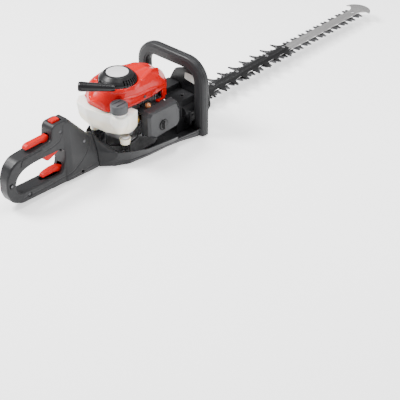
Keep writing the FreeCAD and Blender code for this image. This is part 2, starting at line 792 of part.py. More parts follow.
def make_crankcase():
    """Round case with bearing seats above and below and a cylinder flange."""
    drum = cylinder("CaseDrum", "case_rad", "case_top_z - case_bottom_z", (0, 0, "case_bottom_z"))
    flange = block("CaseFlange", ("flange_x", 46, 40), (0, -23, "cylinder_z - 20"))
    cavity = cylinder("CaseCavity", "cavity_rad", "cavity_top_z - cavity_bottom_z", (0, 0, "cavity_bottom_z"))
    mouth = cylinder("CaseMouth", "bore_rad + 0.5", "flange_x + 1", (0, 0, "cylinder_z"), "X")
    seats = fuse(
        "CaseSeats",
        cylinder("LowerSeat", "bearing_rad", "bearing_depth", (0, 0, "cavity_bottom_z - bearing_depth")),
        cylinder("UpperSeat", "bearing_rad", "bearing_depth", (0, 0, "cavity_top_z")),
        cylinder("ShaftHole", "journal_rad + 1", 80, (0, 0, "case_bottom_z - 10")),
    )
    coil_bracket = block("CoilBracket", (26, 36, 3), (-13, 22, "case_top_z - 3"))
    shape = fuse("CaseBlank", drum, flange, coil_bracket)
    return node("crankcase", cut("crankcase", shape, cavity, mouth, seats))


def make_cylinder():
    """Barrel and head along X, with a row of square cooling fins."""
    owner = body("cylinder")
    core = sketch_on(owner, "CylinderCore", "YZ_Plane", "flange_x + 0.02")
    circle(core, 0, "cylinder_z", "barrel_rad")
    pad(owner, "CylinderBarrel", core, "head_x - flange_x")
    fin = sketch_on(owner, "CylinderFin", "YZ_Plane", "fin_first_x")
    polyline(fin, [
        ("-fin_half", "cylinder_z - fin_half + 6"), ("-fin_half + 6", "cylinder_z - fin_half"),
        ("fin_half - 6", "cylinder_z - fin_half"), ("fin_half", "cylinder_z - fin_half + 6"),
        ("fin_half", "cylinder_z + fin_half - 6"), ("fin_half - 6", "cylinder_z + fin_half"),
        ("-fin_half + 6", "cylinder_z + fin_half"), ("-fin_half", "cylinder_z + fin_half - 6"),
    ])
    first = pad(owner, "FirstFin", fin, "fin_depth")
    row_of(owner, "Fins", first, fin, "N_Axis", "fin_pitch", "fin_count")
    base = sketch_on(owner, "CylinderFlange", "YZ_Plane", "flange_x + 0.02")
    polyline(base, [
        (-23, "cylinder_z - 20"), (23, "cylinder_z - 20"), (23, "cylinder_z + 20"), (-23, "cylinder_z + 20"),
    ])
    pad(owner, "FlangePlate", base, 5)
    bore = sketch_on(owner, "CylinderBore", "YZ_Plane", "flange_x - 1")
    circle(bore, 0, "cylinder_z", "bore_rad")
    pocket(owner, "Bore", bore, 54, reverse=True)
    plug = sketch_on(owner, "PlugHole", "YZ_Plane", "flange_x")
    circle(plug, 0, "cylinder_z", 5.02)
    pocket(owner, "PlugThread", plug, 80, reverse=True)
    port = sketch_on(owner, "Ports", "XZ_Plane", 60)
    circle(port, 58, "cylinder_z", 7)
    pocket(owner, "IntakeAndExhaust", port, 120)
    return node("cylinder", owner)


def make_spark_plug():
    thread = cylinder("PlugThreadRod", 5, 12, ("head_x - 11.5", 0, "cylinder_z"), "X")
    nut = hexagon("PlugHex", 9, 6, ("head_x + 0.5", 0, "cylinder_z"), "X")
    insulator = cylinder("PlugInsulator", 4.5, 16, ("head_x + 6", 0, "cylinder_z"), "X")
    return node("spark_plug", fuse("spark_plug", thread, nut, insulator))


def plug_cap():
    """Rubber elbow that pushes over the spark plug."""
    sleeve = cylinder("CapSleeve", 8.5, 18, ("head_x + 10", 0, "cylinder_z"), "X")
    elbow = cylinder("CapElbow", 6, 16, ("head_x + 22", 0, "cylinder_z"), "Y")
    hole = cylinder("CapHole", "4.5 + seat_gap", 12.02, ("head_x + 9.98", 0, "cylinder_z"), "X")
    return cut("PlugCap", fuse("CapBlank", sleeve, elbow), hole)


def make_ignition_coil():
    core = block("CoilCore", (22, 8, 12), (-11, "flywheel_rad + 1.5", "case_top_z + 0.02"))
    winding = block("CoilWinding", (16, 14, 16), (-8, "flywheel_rad + 6", "case_top_z + 0.02"))
    return node("ignition_coil", fuse("ignition_coil", core, winding))


def rounded_pipe(points, radius, bend):
    """Round pipe along straight runs joined by tangent arcs."""
    edges = []
    start = Vector(*points[0])
    for before, here, after in zip(points, points[1:], points[2:]):
        corner = Vector(*here)
        back = (Vector(*before) - corner).normalize()
        ahead = (Vector(*after) - corner).normalize()
        half = back.getAngle(ahead) / 2
        reach = bend / math.tan(half)
        middle = (back + ahead).normalize()
        centre = corner + middle * (bend / math.sin(half))
        enter, leave = corner + back * reach, corner + ahead * reach
        edges.append(Part.LineSegment(start, enter).toShape())
        edges.append(Part.Arc(enter, centre - middle * bend, leave).toShape())
        start = leave
    edges.append(Part.LineSegment(start, Vector(*points[-1])).toShape())
    path = Part.Wire(edges)
    heading = (Vector(*points[1]) - Vector(*points[0])).normalize()
    profile = Part.Wire(Part.makeCircle(radius, Vector(*points[0]), heading))
    pipe = path.makePipeShell([profile], True, False)
    wanted = math.pi * radius ** 2 * path.Length
    if abs(pipe.Volume - wanted) > 0.02 * wanted:
        raise ValueError("pipe volume %.1f, wanted %.1f" % (pipe.Volume, wanted))
    return pipe


LEAD_ROUTE = ((124, 16.1, 110), (124, 30, 111), (114, 38, 130), (84, 46, 147), (44, 54, 148), (8.05, 54, 148))


def make_ignition_lead():
    """Plug lead with its cap, led back over the cylinder to the coil."""
    lead = feature("PlugLead", rounded_pipe(LEAD_ROUTE, 2.5, 12))
    return node("ignition_lead", group("ignition_lead", lead, plug_cap()))


def make_flywheel():
    """Flywheel with radial fan blades, a top ring and two dogs for the starter."""
    z = S.flywheel_z
    disc = Part.makeCylinder(S.flywheel_rad, S.flywheel_disc, Vector(0, 0, z))
    hub = Part.makeCylinder(13, S.hub_top_z - z, Vector(0, 0, z))
    shape = disc.fuse(hub)
    count = int(S.fan_blades)
    for index in range(count):
        blade_size = (S.flywheel_rad - S.fan_inner_rad, 2.4, S.fan_top_z - z - 2)
        blade = Part.makeBox(*blade_size, Vector(S.fan_inner_rad, -1.2, z + 2))
        blade.rotate(Vector(S.fan_inner_rad, 0, 0), Vector(0, 0, 1), 12)
        blade.rotate(Vector(), Vector(0, 0, 1), 360 / count * index)
        shape = shape.fuse(blade)
    shape = shape.common(Part.makeCylinder(S.flywheel_rad, 60, Vector(0, 0, z)))
    ring = Part.makeCylinder(31, 4, Vector(0, 0, S.fan_top_z - 1))
    shape = shape.fuse(ring.cut(Part.makeCylinder(18, 6, Vector(0, 0, S.fan_top_z - 2))))
    for x in (20, -29):
        shape = shape.fuse(Part.makeBox(9, 5, S.reel_z - S.fan_top_z + 1, Vector(x, -2.5, S.fan_top_z + 1)))
    bore = Part.makeCylinder(S.shaft_seat_rad + S.seat_gap, 60, Vector(0, 0, z - 1))
    journal_length = S.shaft_shoulder_z - z + 1.02
    journal = Part.makeCylinder(S.journal_rad + S.seat_gap, journal_length, Vector(0, 0, z - 1))
    shape = shape.cut(bore.fuse(journal))
    return node("flywheel", feature("flywheel", shape.removeSplitter()))


def pull_point(along, across, height):
    """Point in the starter's own directions: along the pull, then across it."""
    pull = Vector(-S.pull_x, -S.pull_y, 0)
    side = Vector(-S.pull_y, S.pull_x, 0)
    return pull * along + side * across + Vector(0, 0, height)


def make_starter_reel():
    """Grooved reel on the cover's post, wound with the starter rope."""
    z, top = S.reel_z, S.reel_z + S.reel_depth
    profile = [
        (S.post_rad + S.running_fit, z), (S.reel_rad, z), (S.reel_rad, z + 2),
        (S.reel_groove_rad, z + 2.6), (S.reel_groove_rad, top - 2.6), (S.reel_rad, top - 2),
        (S.reel_rad, top), (S.post_rad + S.running_fit, top),
    ]
    points = [Vector(a, 0, b) for a, b in profile]
    shape = Part.Face(Part.makePolygon(points + points[:1])).revolve(Vector(), Vector(0, 0, 1), 360)
    cup = Part.makeCylinder(34, 5, Vector(0, 0, z - 1))
    shape = shape.cut(cup.cut(Part.makeCylinder(12, 6, Vector(0, 0, z - 1))))
    return node("starter_reel", feature("starter_reel", shape))


def make_recoil_spring():
    """Flat clock spring drawn as its coiled ring."""
    z = S.reel_z + S.reel_depth + 0.4
    shape = Part.makeCylinder(26, 5, Vector(0, 0, z)).cut(Part.makeCylinder(9, 7, Vector(0, 0, z - 1)))
    for index in range(5):
        middle = 11.5 + 3 * index
        groove = Part.makeCylinder(middle + 0.6, 3, Vector(0, 0, z + 3))
        shape = shape.cut(groove.cut(Part.makeCylinder(middle - 0.6, 5, Vector(0, 0, z + 2))))
    return node("recoil_spring", feature("recoil_spring", shape))


def make_starter_rope():
    """Rope from the reel's groove out to the grip, along the pull line."""
    start = pull_point(2, S.rope_line, S.rope_z)
    length = S.grip_distance - 2.6
    shape = Part.makeCylinder(S.rope_rad, length, start, Vector(-S.pull_x, -S.pull_y, 0))
    return node("starter_rope", feature("starter_rope", shape))


def make_starter_grip():
    """Black tapered bar grip, with a blind hole for the knotted rope."""
    half = S.grip_length / 2
    side = Vector(-S.pull_y, S.pull_x, 0)
    start = pull_point(S.grip_distance, S.grip_offset - half, S.grip_z)
    narrow = S.grip_rad - 4
    shape = Part.makeCone(narrow - 1.5, narrow, 6, start, side)
    shape = shape.fuse(Part.makeCone(narrow, S.grip_rad, S.grip_length - 12, start + side * 6, side))
    wide_end = start + side * (S.grip_length - 6)
    shape = shape.fuse(Part.makeCone(S.grip_rad, S.grip_rad - 1.2, 6, wide_end, side))
    hole_start = pull_point(0, S.rope_line, S.rope_z)
    hole = Part.makeCylinder(S.rope_rad + 0.05, S.grip_distance, hole_start, Vector(-S.pull_x, -S.pull_y, 0))
    return node("starter_grip", feature("starter_grip", shape.removeSplitter().cut(hole)))


def make_starter_cover():
    """Domed cover with slots round its side, a reel post and a rope boss."""
    base_z, top_z = S.cover_base_z, S.cover_top_z
    outer = [
        (0, base_z), (S.cover_base_rad, base_z), (S.cover_base_rad, base_z + 6),
        (S.cover_base_rad - 1.5, base_z + 10), (S.cover_base_rad - 6, base_z + 15),
        (S.cover_top_rad, top_z), (0, top_z),
    ]
    skin = revolved(outer)
    inner = [
        (0, base_z - 1), (S.cover_base_rad - 2.5, base_z - 1), (S.cover_base_rad - 2.5, base_z + 6),
        (S.cover_base_rad - 4, base_z + 9), (S.cover_base_rad - 8.5, base_z + 13.5),
        (S.cover_top_rad - 2, top_z - 3), (0, top_z - 3),
    ]
    shape = skin.cut(revolved(inner))
    count = int(S.starter_slots)
    for index in range(count):
        turn = 360 / count * index
        if 120 < turn < 240:
            continue
        slot = Part.makeBox(22, 3.6, 13.5, Vector(S.cover_base_rad - 12, -1.8, base_z + 3))
        slot.rotate(Vector(), Vector(0, 0, 1), turn)
        shape = shape.cut(slot)
    post = Part.makeCylinder(S.post_rad, top_z - 2 - 190, Vector(0, 0, 190))
    boss_start = pull_point(25, S.rope_line, S.rope_z)
    boss = Part.makeCylinder(5.5, 9, boss_start, Vector(-S.pull_x, -S.pull_y, 0))
    shape = shape.fuse([post, boss])
    hole = Part.makeCylinder(S.rope_rad + 0.6, 60, pull_point(0, S.rope_line, S.rope_z),
                             Vector(-S.pull_x, -S.pull_y, 0))
    badge_seat = Part.makeCylinder(S.badge_rad + 0.05, 5, Vector(0, 0, top_z - 0.5))
    shape = shape.cut(hole.fuse(badge_seat))
    return node("starter_cover", feature("starter_cover", shape))


def revolved(profile):
    """Solid of revolution about the crank axis from (radius, z) corners."""
    points = [Vector(a, 0, b) for a, b in profile]
    return Part.Face(Part.makePolygon(points + points[:1])).revolve(Vector(), Vector(0, 0, 1), 360)


def make_starter_badge():
    return node("starter_badge", cylinder("starter_badge", "badge_rad", "badge_depth",
                                          (0, 0, "cover_top_z - 0.48")))


FILLER = (-52, -56)
FILLER_ROOM = 22.6
SHROUD_SECTIONS = (
    (146, ((-62, -22), (-40, -48), (8, -53), (62, -53), (122, -46), (147, -22), (149, 16),
           (132, 48), (82, 74), (0, 80), (-47, 71), (-65, 28))),
    (168, ((-60, -22), (-39, -49), (8, -55), (62, -54), (116, -46), (139, -22), (141, 16),
           (125, 46), (80, 71), (0, 78), (-40, 69), (-62, 28))),
    (187, ((-57, -20), (-37, -46), (8, -54), (58, -51), (100, -41), (120, -20), (122, 12),
           (108, 38), (70, 60), (0, 70), (-37, 62), (-58, 26))),
    (200, ((-52, -18), (-32, -42), (6, -51), (46, -44), (78, -34), (94, -16), (95, 10),
           (84, 30), (52, 48), (0, 58), (-32, 52), (-52, 22))),
)


def shroud_solid(margin, drop):
    sections = [level(shrunk(list(corners), margin), z) for z, corners in SHROUD_SECTIONS]
    for point in sections[0]:
        point.z -= drop
    for point in sections[-1]:
        point.z -= margin
    filler = Part.makeCylinder(FILLER_ROOM + margin, 90, Vector(FILLER[0], FILLER[1], 120))
    return loft(sections).cut(filler)


def make_fan_shroud():
    """Red cover over fan and cylinder, with a skirt round the cylinder head."""
    shape = shroud_solid(0, 0)
    skirt = ((104, -48), (124, -44), (146, -21), (148, 16), (131, 46), (104, 60))
    nose = prism(list(skirt), 123, 152)
    nose_room = prism(shrunk(list(skirt), S.wall), 122, 153)
    nose_room = nose_room.fuse(Part.makeBox(20, 96, 31, Vector(92, -42, 122)))
    shape = shape.fuse(nose).cut(shroud_solid(S.wall, 2)).cut(nose_room)
    opening = Part.makeCylinder(S.cover_base_rad - 3, 30, Vector(0, 0, 190))
    recess = Part.makeCylinder(S.cover_base_rad + 0.3, 10, Vector(0, 0, S.cover_base_z - 0.02))
    shape = shape.cut(opening.fuse(recess))
    for index in range(3):
        louver = Part.makeBox(12, 3, 5, Vector(-60 + 9 * index, 56 + 7 * index, 176))
        shape = shape.cut(louver)
    pocket_hole = Part.makeCylinder(4.2, 8.4, Vector(38, -60, 157), Vector(0, 1, 0))
    screw_hole = Part.makeCylinder(S.screw_rad + 0.05, 20, Vector(38, -60, 157), Vector(0, 1, 0))
    shape = shape.cut(pocket_hole.fuse(screw_hole))
    return node("fan_shroud", feature("fan_shroud", shape))


TANK_SECTIONS = (
    (82, ((-6, -58), (-26, -60), (-46, -46), (-60, -14), (-64, 26), (-58, 58), (-42, 72),
          (-32, 70), (-38, 46), (-42, 14), (-41, -10), (-30, -34), (-8, -46))),
    (100, ((-2, -68), (-30, -72), (-56, -58), (-70, -16), (-76, 30), (-69, 70), (-46, 88),
           (-30, 80), (-38, 46), (-42, 14), (-41, -10), (-30, -34), (-4, -46))),
    (144, ((-2, -70), (-34, -78), (-66, -70), (-76, -20), (-84, 30), (-77, 70), (-50, 90),
           (-28, 82), (-40, 50), (-48, 14), (-47, -12), (-34, -36), (-4, -50))),
)


def make_fuel_tank():
    """Off-white tank that wraps round the back of the engine, with a neck."""
    shape = loft([level(list(corners), z) for z, corners in TANK_SECTIONS])
    x, y = FILLER
    bulge = Part.makeCone(14, 22, 24, Vector(x, y, 100)).fuse(Part.makeCylinder(22, 21, Vector(x, y, 124)))
    neck = Part.makeCylinder(16, 14, Vector(x, y, 142))
    shape = shape.fuse([bulge, neck])
    inside = loft([level(shrunk(list(corners), 2.4), z + (2.4 if z < 90 else 0))
                   for z, corners in TANK_SECTIONS])
    inside.translate(Vector(0, 0, -1.6))
    bore = Part.makeCylinder(13.5, 46, Vector(x, y, 112))
    keep_out = Part.makeCylinder(S.flywheel_rad + 3, 40, Vector(0, 0, 134.1))
    shape = shape.cut(inside.fuse(bore)).cut(keep_out)
    spigot = Part.makeCylinder(2.5, 6.5, Vector(-8, -57, 90), Vector(1, 0, 0))
    shape = shape.fuse(spigot).removeSplitter()
    return node("fuel_tank", feature("fuel_tank", shape))


def make_fuel_cap():
    """Screw cap with two grip grooves across its top, and the seal inside it."""
    x, y = FILLER
    cap = cylinder("CapDisc", 21.5, 20, (x, y, 154))
    top = cone("CapTop", 21.5, 19.5, 2.5, (x, y, 174))
    hollow = cylinder("CapHollow", 16.4, 6, (x, y, 153))
    grooves = [block("CapGroove%d" % i, (30, 3, 4), (x - 15, y + offset, 173.5))
               for i, offset in enumerate((-9, 6))]
    lid = cut("CapLid", fuse("CapBody", cap, top), hollow, *grooves)
    seal = tube("CapSeal", 15.9, 11, 1.8, (x, y, 157.1))
    return node("fuel_cap", group("fuel_cap", lid, seal))


def make_fuel_line():
    """Hose from the bottom of the tank to the carburettor."""
    route = ((-1.4, -57, 90), (12, -57, 90), (30, -50.5, 87), (44.8, -50.5, 87))
    return node("fuel_line", feature("fuel_line", rounded_pipe(route, 2.5, 10)))


# ---------------------------------------------------------------- intake and exhaust

def make_intake_manifold():
    blank = block("ManifoldBlock", (30, 10, 26), (43, "-fin_half - 10.05", "cylinder_z - 13"))
    bore = cylinder("ManifoldBore", 6.5, 20, (58, "-fin_half - 15", "cylinder_z"), "Y")
    return node("intake_manifold", cut("intake_manifold", blank, bore))


def make_carburettor():
    """Barrel carburettor with its float bowl below."""
    main = block("CarbBlock", (46, 22.8, 22), (30, -62, 94))
    bowl = cylinder("CarbBowl", 11, 12, (56, -50.5, 83))
    bore = cylinder("CarbBore", 6.5, 40, (58, -75, "cylinder_z"), "Y")
    barrel = cylinder("CarbBarrelBore", 7.04, 14, (29, -50.5, 104), "X")
    return node("carburettor", cut("carburettor", fuse("CarbBlank", main, bowl), bore, barrel))


def make_throttle_barrel():
    """Brass throttle barrel with the drum that the cable pulls."""
    stem = cylinder("BarrelStem", 7, 29, (13, -50.5, 104), "X")
    drum = cylinder("BarrelDrum", 10, 4, (9, -50.5, 104), "X")
    knurl = cylinder("BarrelCap", 5, 5, (4.5, -50.5, 104), "X")
    return node("throttle_barrel", fuse("throttle_barrel", stem, drum, knurl))


FILTER_FRONT = ((17, 72), (33, 59), (106, 63), (114, 72), (114, 100), (104, 126), (22, 129), (15, 121))
FILTER_BACK = ((11, 68), (28, 57), (112, 61), (123, 70), (123, 108), (112, 129), (19, 131), (11, 122))


def make_filter_base():
    """Upright plate behind the filter, with a shelf for primer and choke."""
    plate = block("FilterPlate", (106, 3, 66), (14, -66, 60))
    shelf = block("FilterShelf", (86, 26, 5), (15, -66, 118))
    bore = cylinder("FilterPort", 6.5, 10, (58, -70, "cylinder_z"), "Y")
    knob_hole = cylinder("KnobStudHole", 2.52, 10, (59, -70, 85), "Y")
    pivot = cylinder("ChokePivotHole", 2.02, 10, (CHOKE[0], CHOKE[1], 116))
    stub = cylinder("FilterThroat", 9, 3, (58, -65, "cylinder_z"), "Y")
    primer_ring = cylinder("PrimerRing", 10, 0.9, (PRIMER[0], PRIMER[1], 122.9))
    primer_seat = cylinder("PrimerSeat", 6.4, 6, (PRIMER[0], PRIMER[1], 119))
    blank = fuse("FilterBaseBlank", plate, shelf, stub, primer_ring)
    return node("filter_base", cut("filter_base", blank, bore, knob_hole, pivot, primer_seat))


def make_filter_element():
    foam = block("FilterFoam", (80, 11, 46), (26, -77.2, 66))
    hole = cylinder("FilterFoamHole", 5, 20, (59, -85, 85), "Y")
    return node("filter_element", cut("filter_element", foam, hole))


def make_filter_cover():
    """Faceted lid over the air filter, open at the back."""
    front = [Vector(x, -95, z) for x, z in FILTER_FRONT]
    middle = [Vector(x, -88, z) for x, z in FILTER_BACK]
    back = [Vector(x, -66.3, z) for x, z in FILTER_BACK]
    shape = loft([front, middle, back])
    inside = prism(shrunk(list(FILTER_BACK), 2.5), -91, -60, "Y")
    shape = shape.cut(inside.common(Part.makeBox(200, 30.5, 200, Vector(0, -91.5, 0))))
    recess = Part.makeCylinder(14, 3, Vector(59, -95.5, 85), Vector(0, 1, 0))
    hole = Part.makeCylinder(2.6, 30, Vector(59, -96, 85), Vector(0, 1, 0))
    return node("filter_cover", feature("filter_cover", shape.cut(recess.fuse(hole))))


def make_filter_knob():
    """Round knob with a grip bar, on a stud that reaches the filter plate."""
    disc = cylinder("KnobDisc", 12.5, 3.6, (59, -96.3, 85), "Y")
    bar = block("KnobBar", (5, 6, 20), (56.5, -101.5, 75))
    stud = cylinder("KnobStud", 2.5, 29, (59, -93, 85), "Y")
    return node("filter_knob", fuse("filter_knob", disc, bar, stud))


CHOKE = (84, -52)
PRIMER = (46, -55)


def make_choke_lever():
    x, y = CHOKE
    hub = cylinder("ChokeHub", 5, 4.5, (x, y, 123.3))
    pin = cylinder("ChokePin", 1.97, 5, (x, y, 119))
    arm = block("ChokeArm", (22, 5, 3), (x - 1, y - 2.5, 124.3))
    tab = block("ChokeTab", (4, 7, 6), (x + 19, y - 3.5, 124.3))
    return node("choke_lever", fuse("choke_lever", hub, pin, arm, tab))


def make_primer_bulb():
    """Clear rubber bulb that is pressed to draw fuel."""
    x, y = PRIMER
    flange = Part.makeCylinder(6.1, 5.7, Vector(x, y, 121.2))
    above_ring = Part.makeBox(20, 20, 10, Vector(x - 10, y - 10, 126.4))
    dome = Part.makeSphere(8, Vector(x, y, 128)).common(above_ring)
    hollow = Part.makeSphere(5.8, Vector(x, y, 128.2))
    return node("primer_bulb", feature("primer_bulb", flange.fuse(dome).cut(hollow).removeSplitter()))


def make_muffler():
    """Pressed steel box on the left, with its outlet pointing forward."""
    box = block("MufflerBox", (64, 40, 52), (28, "fin_half + 8", "cylinder_z - 30"))
    room = block("MufflerRoom", (60, 36, 48), (30, "fin_half + 10", "cylinder_z - 28"))
    inlet = cylinder("MufflerInlet", 10, 9, (58, "fin_half + 0.05", "cylinder_z"), "Y")
    bore = cylinder("MufflerBore", 6.5, 20, (58, "fin_half - 2", "cylinder_z"), "Y")
    outlet = tube("MufflerOutlet", 6, 4.5, 10, (91, "fin_half + 34", "cylinder_z - 16"), "X")
    hole = cylinder("MufflerOutHole", 4.5, 12, (86, "fin_half + 34", "cylinder_z - 16"), "X")
    shell = cut("MufflerShell", box, room)
    return node("muffler", cut("muffler", fuse("MufflerBlank", shell, inlet, outlet), bore, hole))


# ---------------------------------------------------------------- engine mounting

SPRING_SPOTS = ((-33, -53), (-33, 53))


def make_clutch_housing():
    """Casting between gear case and crankcase, with arms to the springs."""
    low, high = S.case_lid_z + 0.02, S.case_bottom_z - 0.02
    shape = Part.makeCylinder(S.housing_rad, high - low, Vector(0, 0, low))
    for x, y in SPRING_SPOTS:
        arm = Part.makeBox(60, 14, 6, Vector(0, -7, 72))
        arm.rotate(Vector(), Vector(0, 0, 1), math.degrees(math.atan2(y, x)))
        shape = shape.fuse(arm).fuse(Part.makeCylinder(11, 6, Vector(x, y, 72)))
    room = Part.makeCylinder(S.housing_inner_rad, high - low - 3, Vector(0, 0, low))
    shaft_hole = Part.makeCylinder(S.journal_rad + 4, 60, Vector(0, 0, low))
    shape = shape.cut(room.fuse(shaft_hole)).removeSplitter()
    return node("clutch_housing", feature("clutch_housing", shape))


def make_av_springs():
    """Steel coil springs that keep the engine's shaking out of the handles."""
    springs = []
    for x, y in SPRING_SPOTS:
        helix = Part.makeHelix(5.6, 25.6, 9.2)
        start = Vector(9.2, 0, 0)
        profile = Part.Wire(Part.makeCircle(1.2, start, Vector(0, 1, 0)))
        coil = Part.Wire(helix.Edges).makePipeShell([profile], True, True)
        coil.translate(Vector(x, y, 29.4))
        springs.append(coil)
    return node("av_springs", feature("av_springs", Part.makeCompound(springs)))


def make_spring_cups():
    """White cups between the spring tops and the engine mount."""
    cups = []
    for index, (x, y) in enumerate(SPRING_SPOTS):
        rim = cone("SpringCupRim%d" % index, 12, 14, 15, (x, y, 56.6))
        room = cylinder("SpringCupRoom%d" % index, 10.6, 1, (x, y, 55.9))
        cups.append(cut("SpringCup%d" % index, rim, room))
    return node("spring_cups", group("spring_cups", *cups))


# ---------------------------------------------------------------- chassis

TRAY_FLOOR = ((-66, 44), (-30, 64), (31, 73), (90, 77), (129, 84), (179, 100), (207, 100))
TRAY_RIM = ((-66, 60), (-40, 80), (-1, 101), (79, 114), (120, 118), (170, 116), (207, 113))
SEAM_BELL = ((25, 6), (27, 16), (22, 48), (12, 76), (6, 93), (3, 97))
NECK_FRONT = ((48, 0), (58, 26), (60, 42), (34, 48), (14, 52), (4, 53))


def plan(half):
    return [(x, -y) for x, y in half] + [(x, y) for x, y in reversed(half)]


def neck_loft(margin, rear, front):
    sections = []
    for corners, x in ((SEAM_BELL, rear), (NECK_FRONT, front)):
        sections.append(station(shrunk(mirrored(list(corners)), margin), x))
    return loft(sections)


def make_base_frame():
    """Flared tray with a cowl at the back that meets the rear handle."""
    floor, rim = plan(TRAY_FLOOR), plan(TRAY_RIM)
    tray = loft([level(floor, 0), level(rim, S.rim_z)])
    room = loft([level(shrunk(floor, S.wall), S.floor_depth), level(shrunk(rim, S.wall), S.rim_z + 1)])
    rear_face = S.seam_x + S.seam_gap / 2
    neck = neck_loft(0, rear_face, -60)
    neck_room = neck_loft(S.wall, rear_face + 10, -59.5)
    shape = tray.fuse(neck).cut(room).cut(neck_room)
    shape = shape.cut(Part.makeBox(60, 200, 80, Vector(-62, -100, S.rim_z)).cut(neck))
    step = prism([(90, 60), (90, S.rim_z), (104, S.front_rim_z), (220, S.front_rim_z), (220, 60)],
                 -130, 130, "Y")
    shape = shape.cut(step)
    for x, y in SPRING_SPOTS:
        shape = shape.fuse(Part.makeCylinder(13, 25, Vector(x, y, 3)))
        shape = shape.fuse(Part.makeCylinder(6, 30, Vector(x, y, 3)))
    for x in (-12, 30, 110):
        shape = shape.fuse(Part.makeBox(4, 130, 1.8, Vector(x, -65, 2)))
    axis_start = Vector(rear_face - 1, 0, S.swivel_z)
    forward = Vector(1, 0, 0)
    shape = shape.cut(Part.makeCylinder(S.neck_rad, 30, axis_start, forward))
    groove = Part.makeCylinder(S.lock_circle_rad + S.lock_pin_rad + 0.4, 7, axis_start, forward)
    groove = groove.cut(Part.makeCylinder(S.lock_circle_rad - S.lock_pin_rad - 0.4, 9, axis_start, forward))
    shape = shape.cut(groove)
    leg = S.handle_section_y / 2 + S.seat_gap
    for side in (1, -1):
        y = side * S.handle_half
        socket_corner = Vector(S.handle_x - S.handle_section_x / 2 - 0.02, y - leg, S.floor_depth)
        shape = shape.cut(Part.makeBox(S.handle_section_x + 0.04, 2 * leg, 60, socket_corner))
    shape = shape.common(Part.makeBox(400, 300, 120, Vector(-120, -150, 0)))
    return node("base_frame", feature("base_frame", shape.removeSplitter()))


def handle_section(owner, name, margin):
    """Octagon around the foot of the loop's centre line."""
    sketch = sketch_on(owner, name, "XY_Plane", "floor_depth + 0.02")
    long_x = "(handle_section_x / 2 - %s)" % margin
    long_y = "(handle_section_y / 2 - %s)" % margin
    short_x = "(handle_section_x / 2 - 8)"
    short_y = "(handle_section_y / 2 - 9)"
    ring = ((-1, long_x, -1, short_y), (-1, short_x, -1, long_y), (1, short_x, -1, long_y),
            (1, long_x, -1, short_y), (1, long_x, 1, short_y), (1, short_x, 1, long_y),
            (-1, short_x, 1, long_y), (-1, long_x, 1, short_y))
    corners = [("handle_x + %d * %s" % (a, x), "-handle_half + %d * %s" % (b, y)) for a, x, b, y in ring]
    polyline(sketch, corners)
    return sketch


def handle_spine(owner):
    """Centre line of the loop: two legs, two bends and the top bar."""
    spine = sketch_on(owner, "HandleSpine", "YZ_Plane", "handle_x")
    half, top, bend, foot = S.handle_half, S.handle_top_z, S.handle_bend, S.floor_depth + 0.02
    diagonal = bend * math.sqrt(0.5)
    for side in (-1, 1):
        leg_top = Vector(side * half, top - bend, 0)
        bar_end = Vector(side * (half - bend), top, 0)
        middle = Vector(side * (half - bend + diagonal), top - bend + diagonal, 0)
        leg = (Vector(side * half, foot, 0), leg_top)
        spine.addGeometry(Part.LineSegment(*(leg if side < 0 else leg[::-1])), False)
        spine.addGeometry(Part.Arc(leg_top, middle, bar_end), False)
    spine.addGeometry(Part.LineSegment(Vector(bend - half, top, 0), Vector(half - bend, top, 0)), False)
    return spine


def make_front_handle():
    """Hollow tubular loop across the machine, swept along its centre line."""
    owner = body("front_handle")
    outside = handle_section(owner, "HandleSection", 0)
    inside = handle_section(owner, "HandleBore", "wall")
    spine = handle_spine(owner)
    doc.recompute()
    pipe = owner.newObject("PartDesign::AdditivePipe", "HandleTube")
    pipe.Profile = outside
    pipe.Spine = (spine, [""])
    hollow = owner.newObject("PartDesign::SubtractivePipe", "HandleHollow")
    hollow.Profile = inside
    hollow.Spine = (spine, [""])
    owner.Tip = hollow
    return node("front_handle", owner)


HAND_GUARD = ((62, 50), (44, 86), (20, 132), (12, 143), (-12, 153), (-60, 151), (-92, 142), (-103, 102),
              (-108, 77), (-94, 48), (-82, 24), (-50, 24), (-50, 50))


def make_hand_guard():
    """Shield plate between the front hand and the blades."""
    plate = prism(smooth_corners(list(HAND_GUARD), 8, 3), 215, 219.5, "X")
    return node("hand_guard", feature("hand_guard", plate))


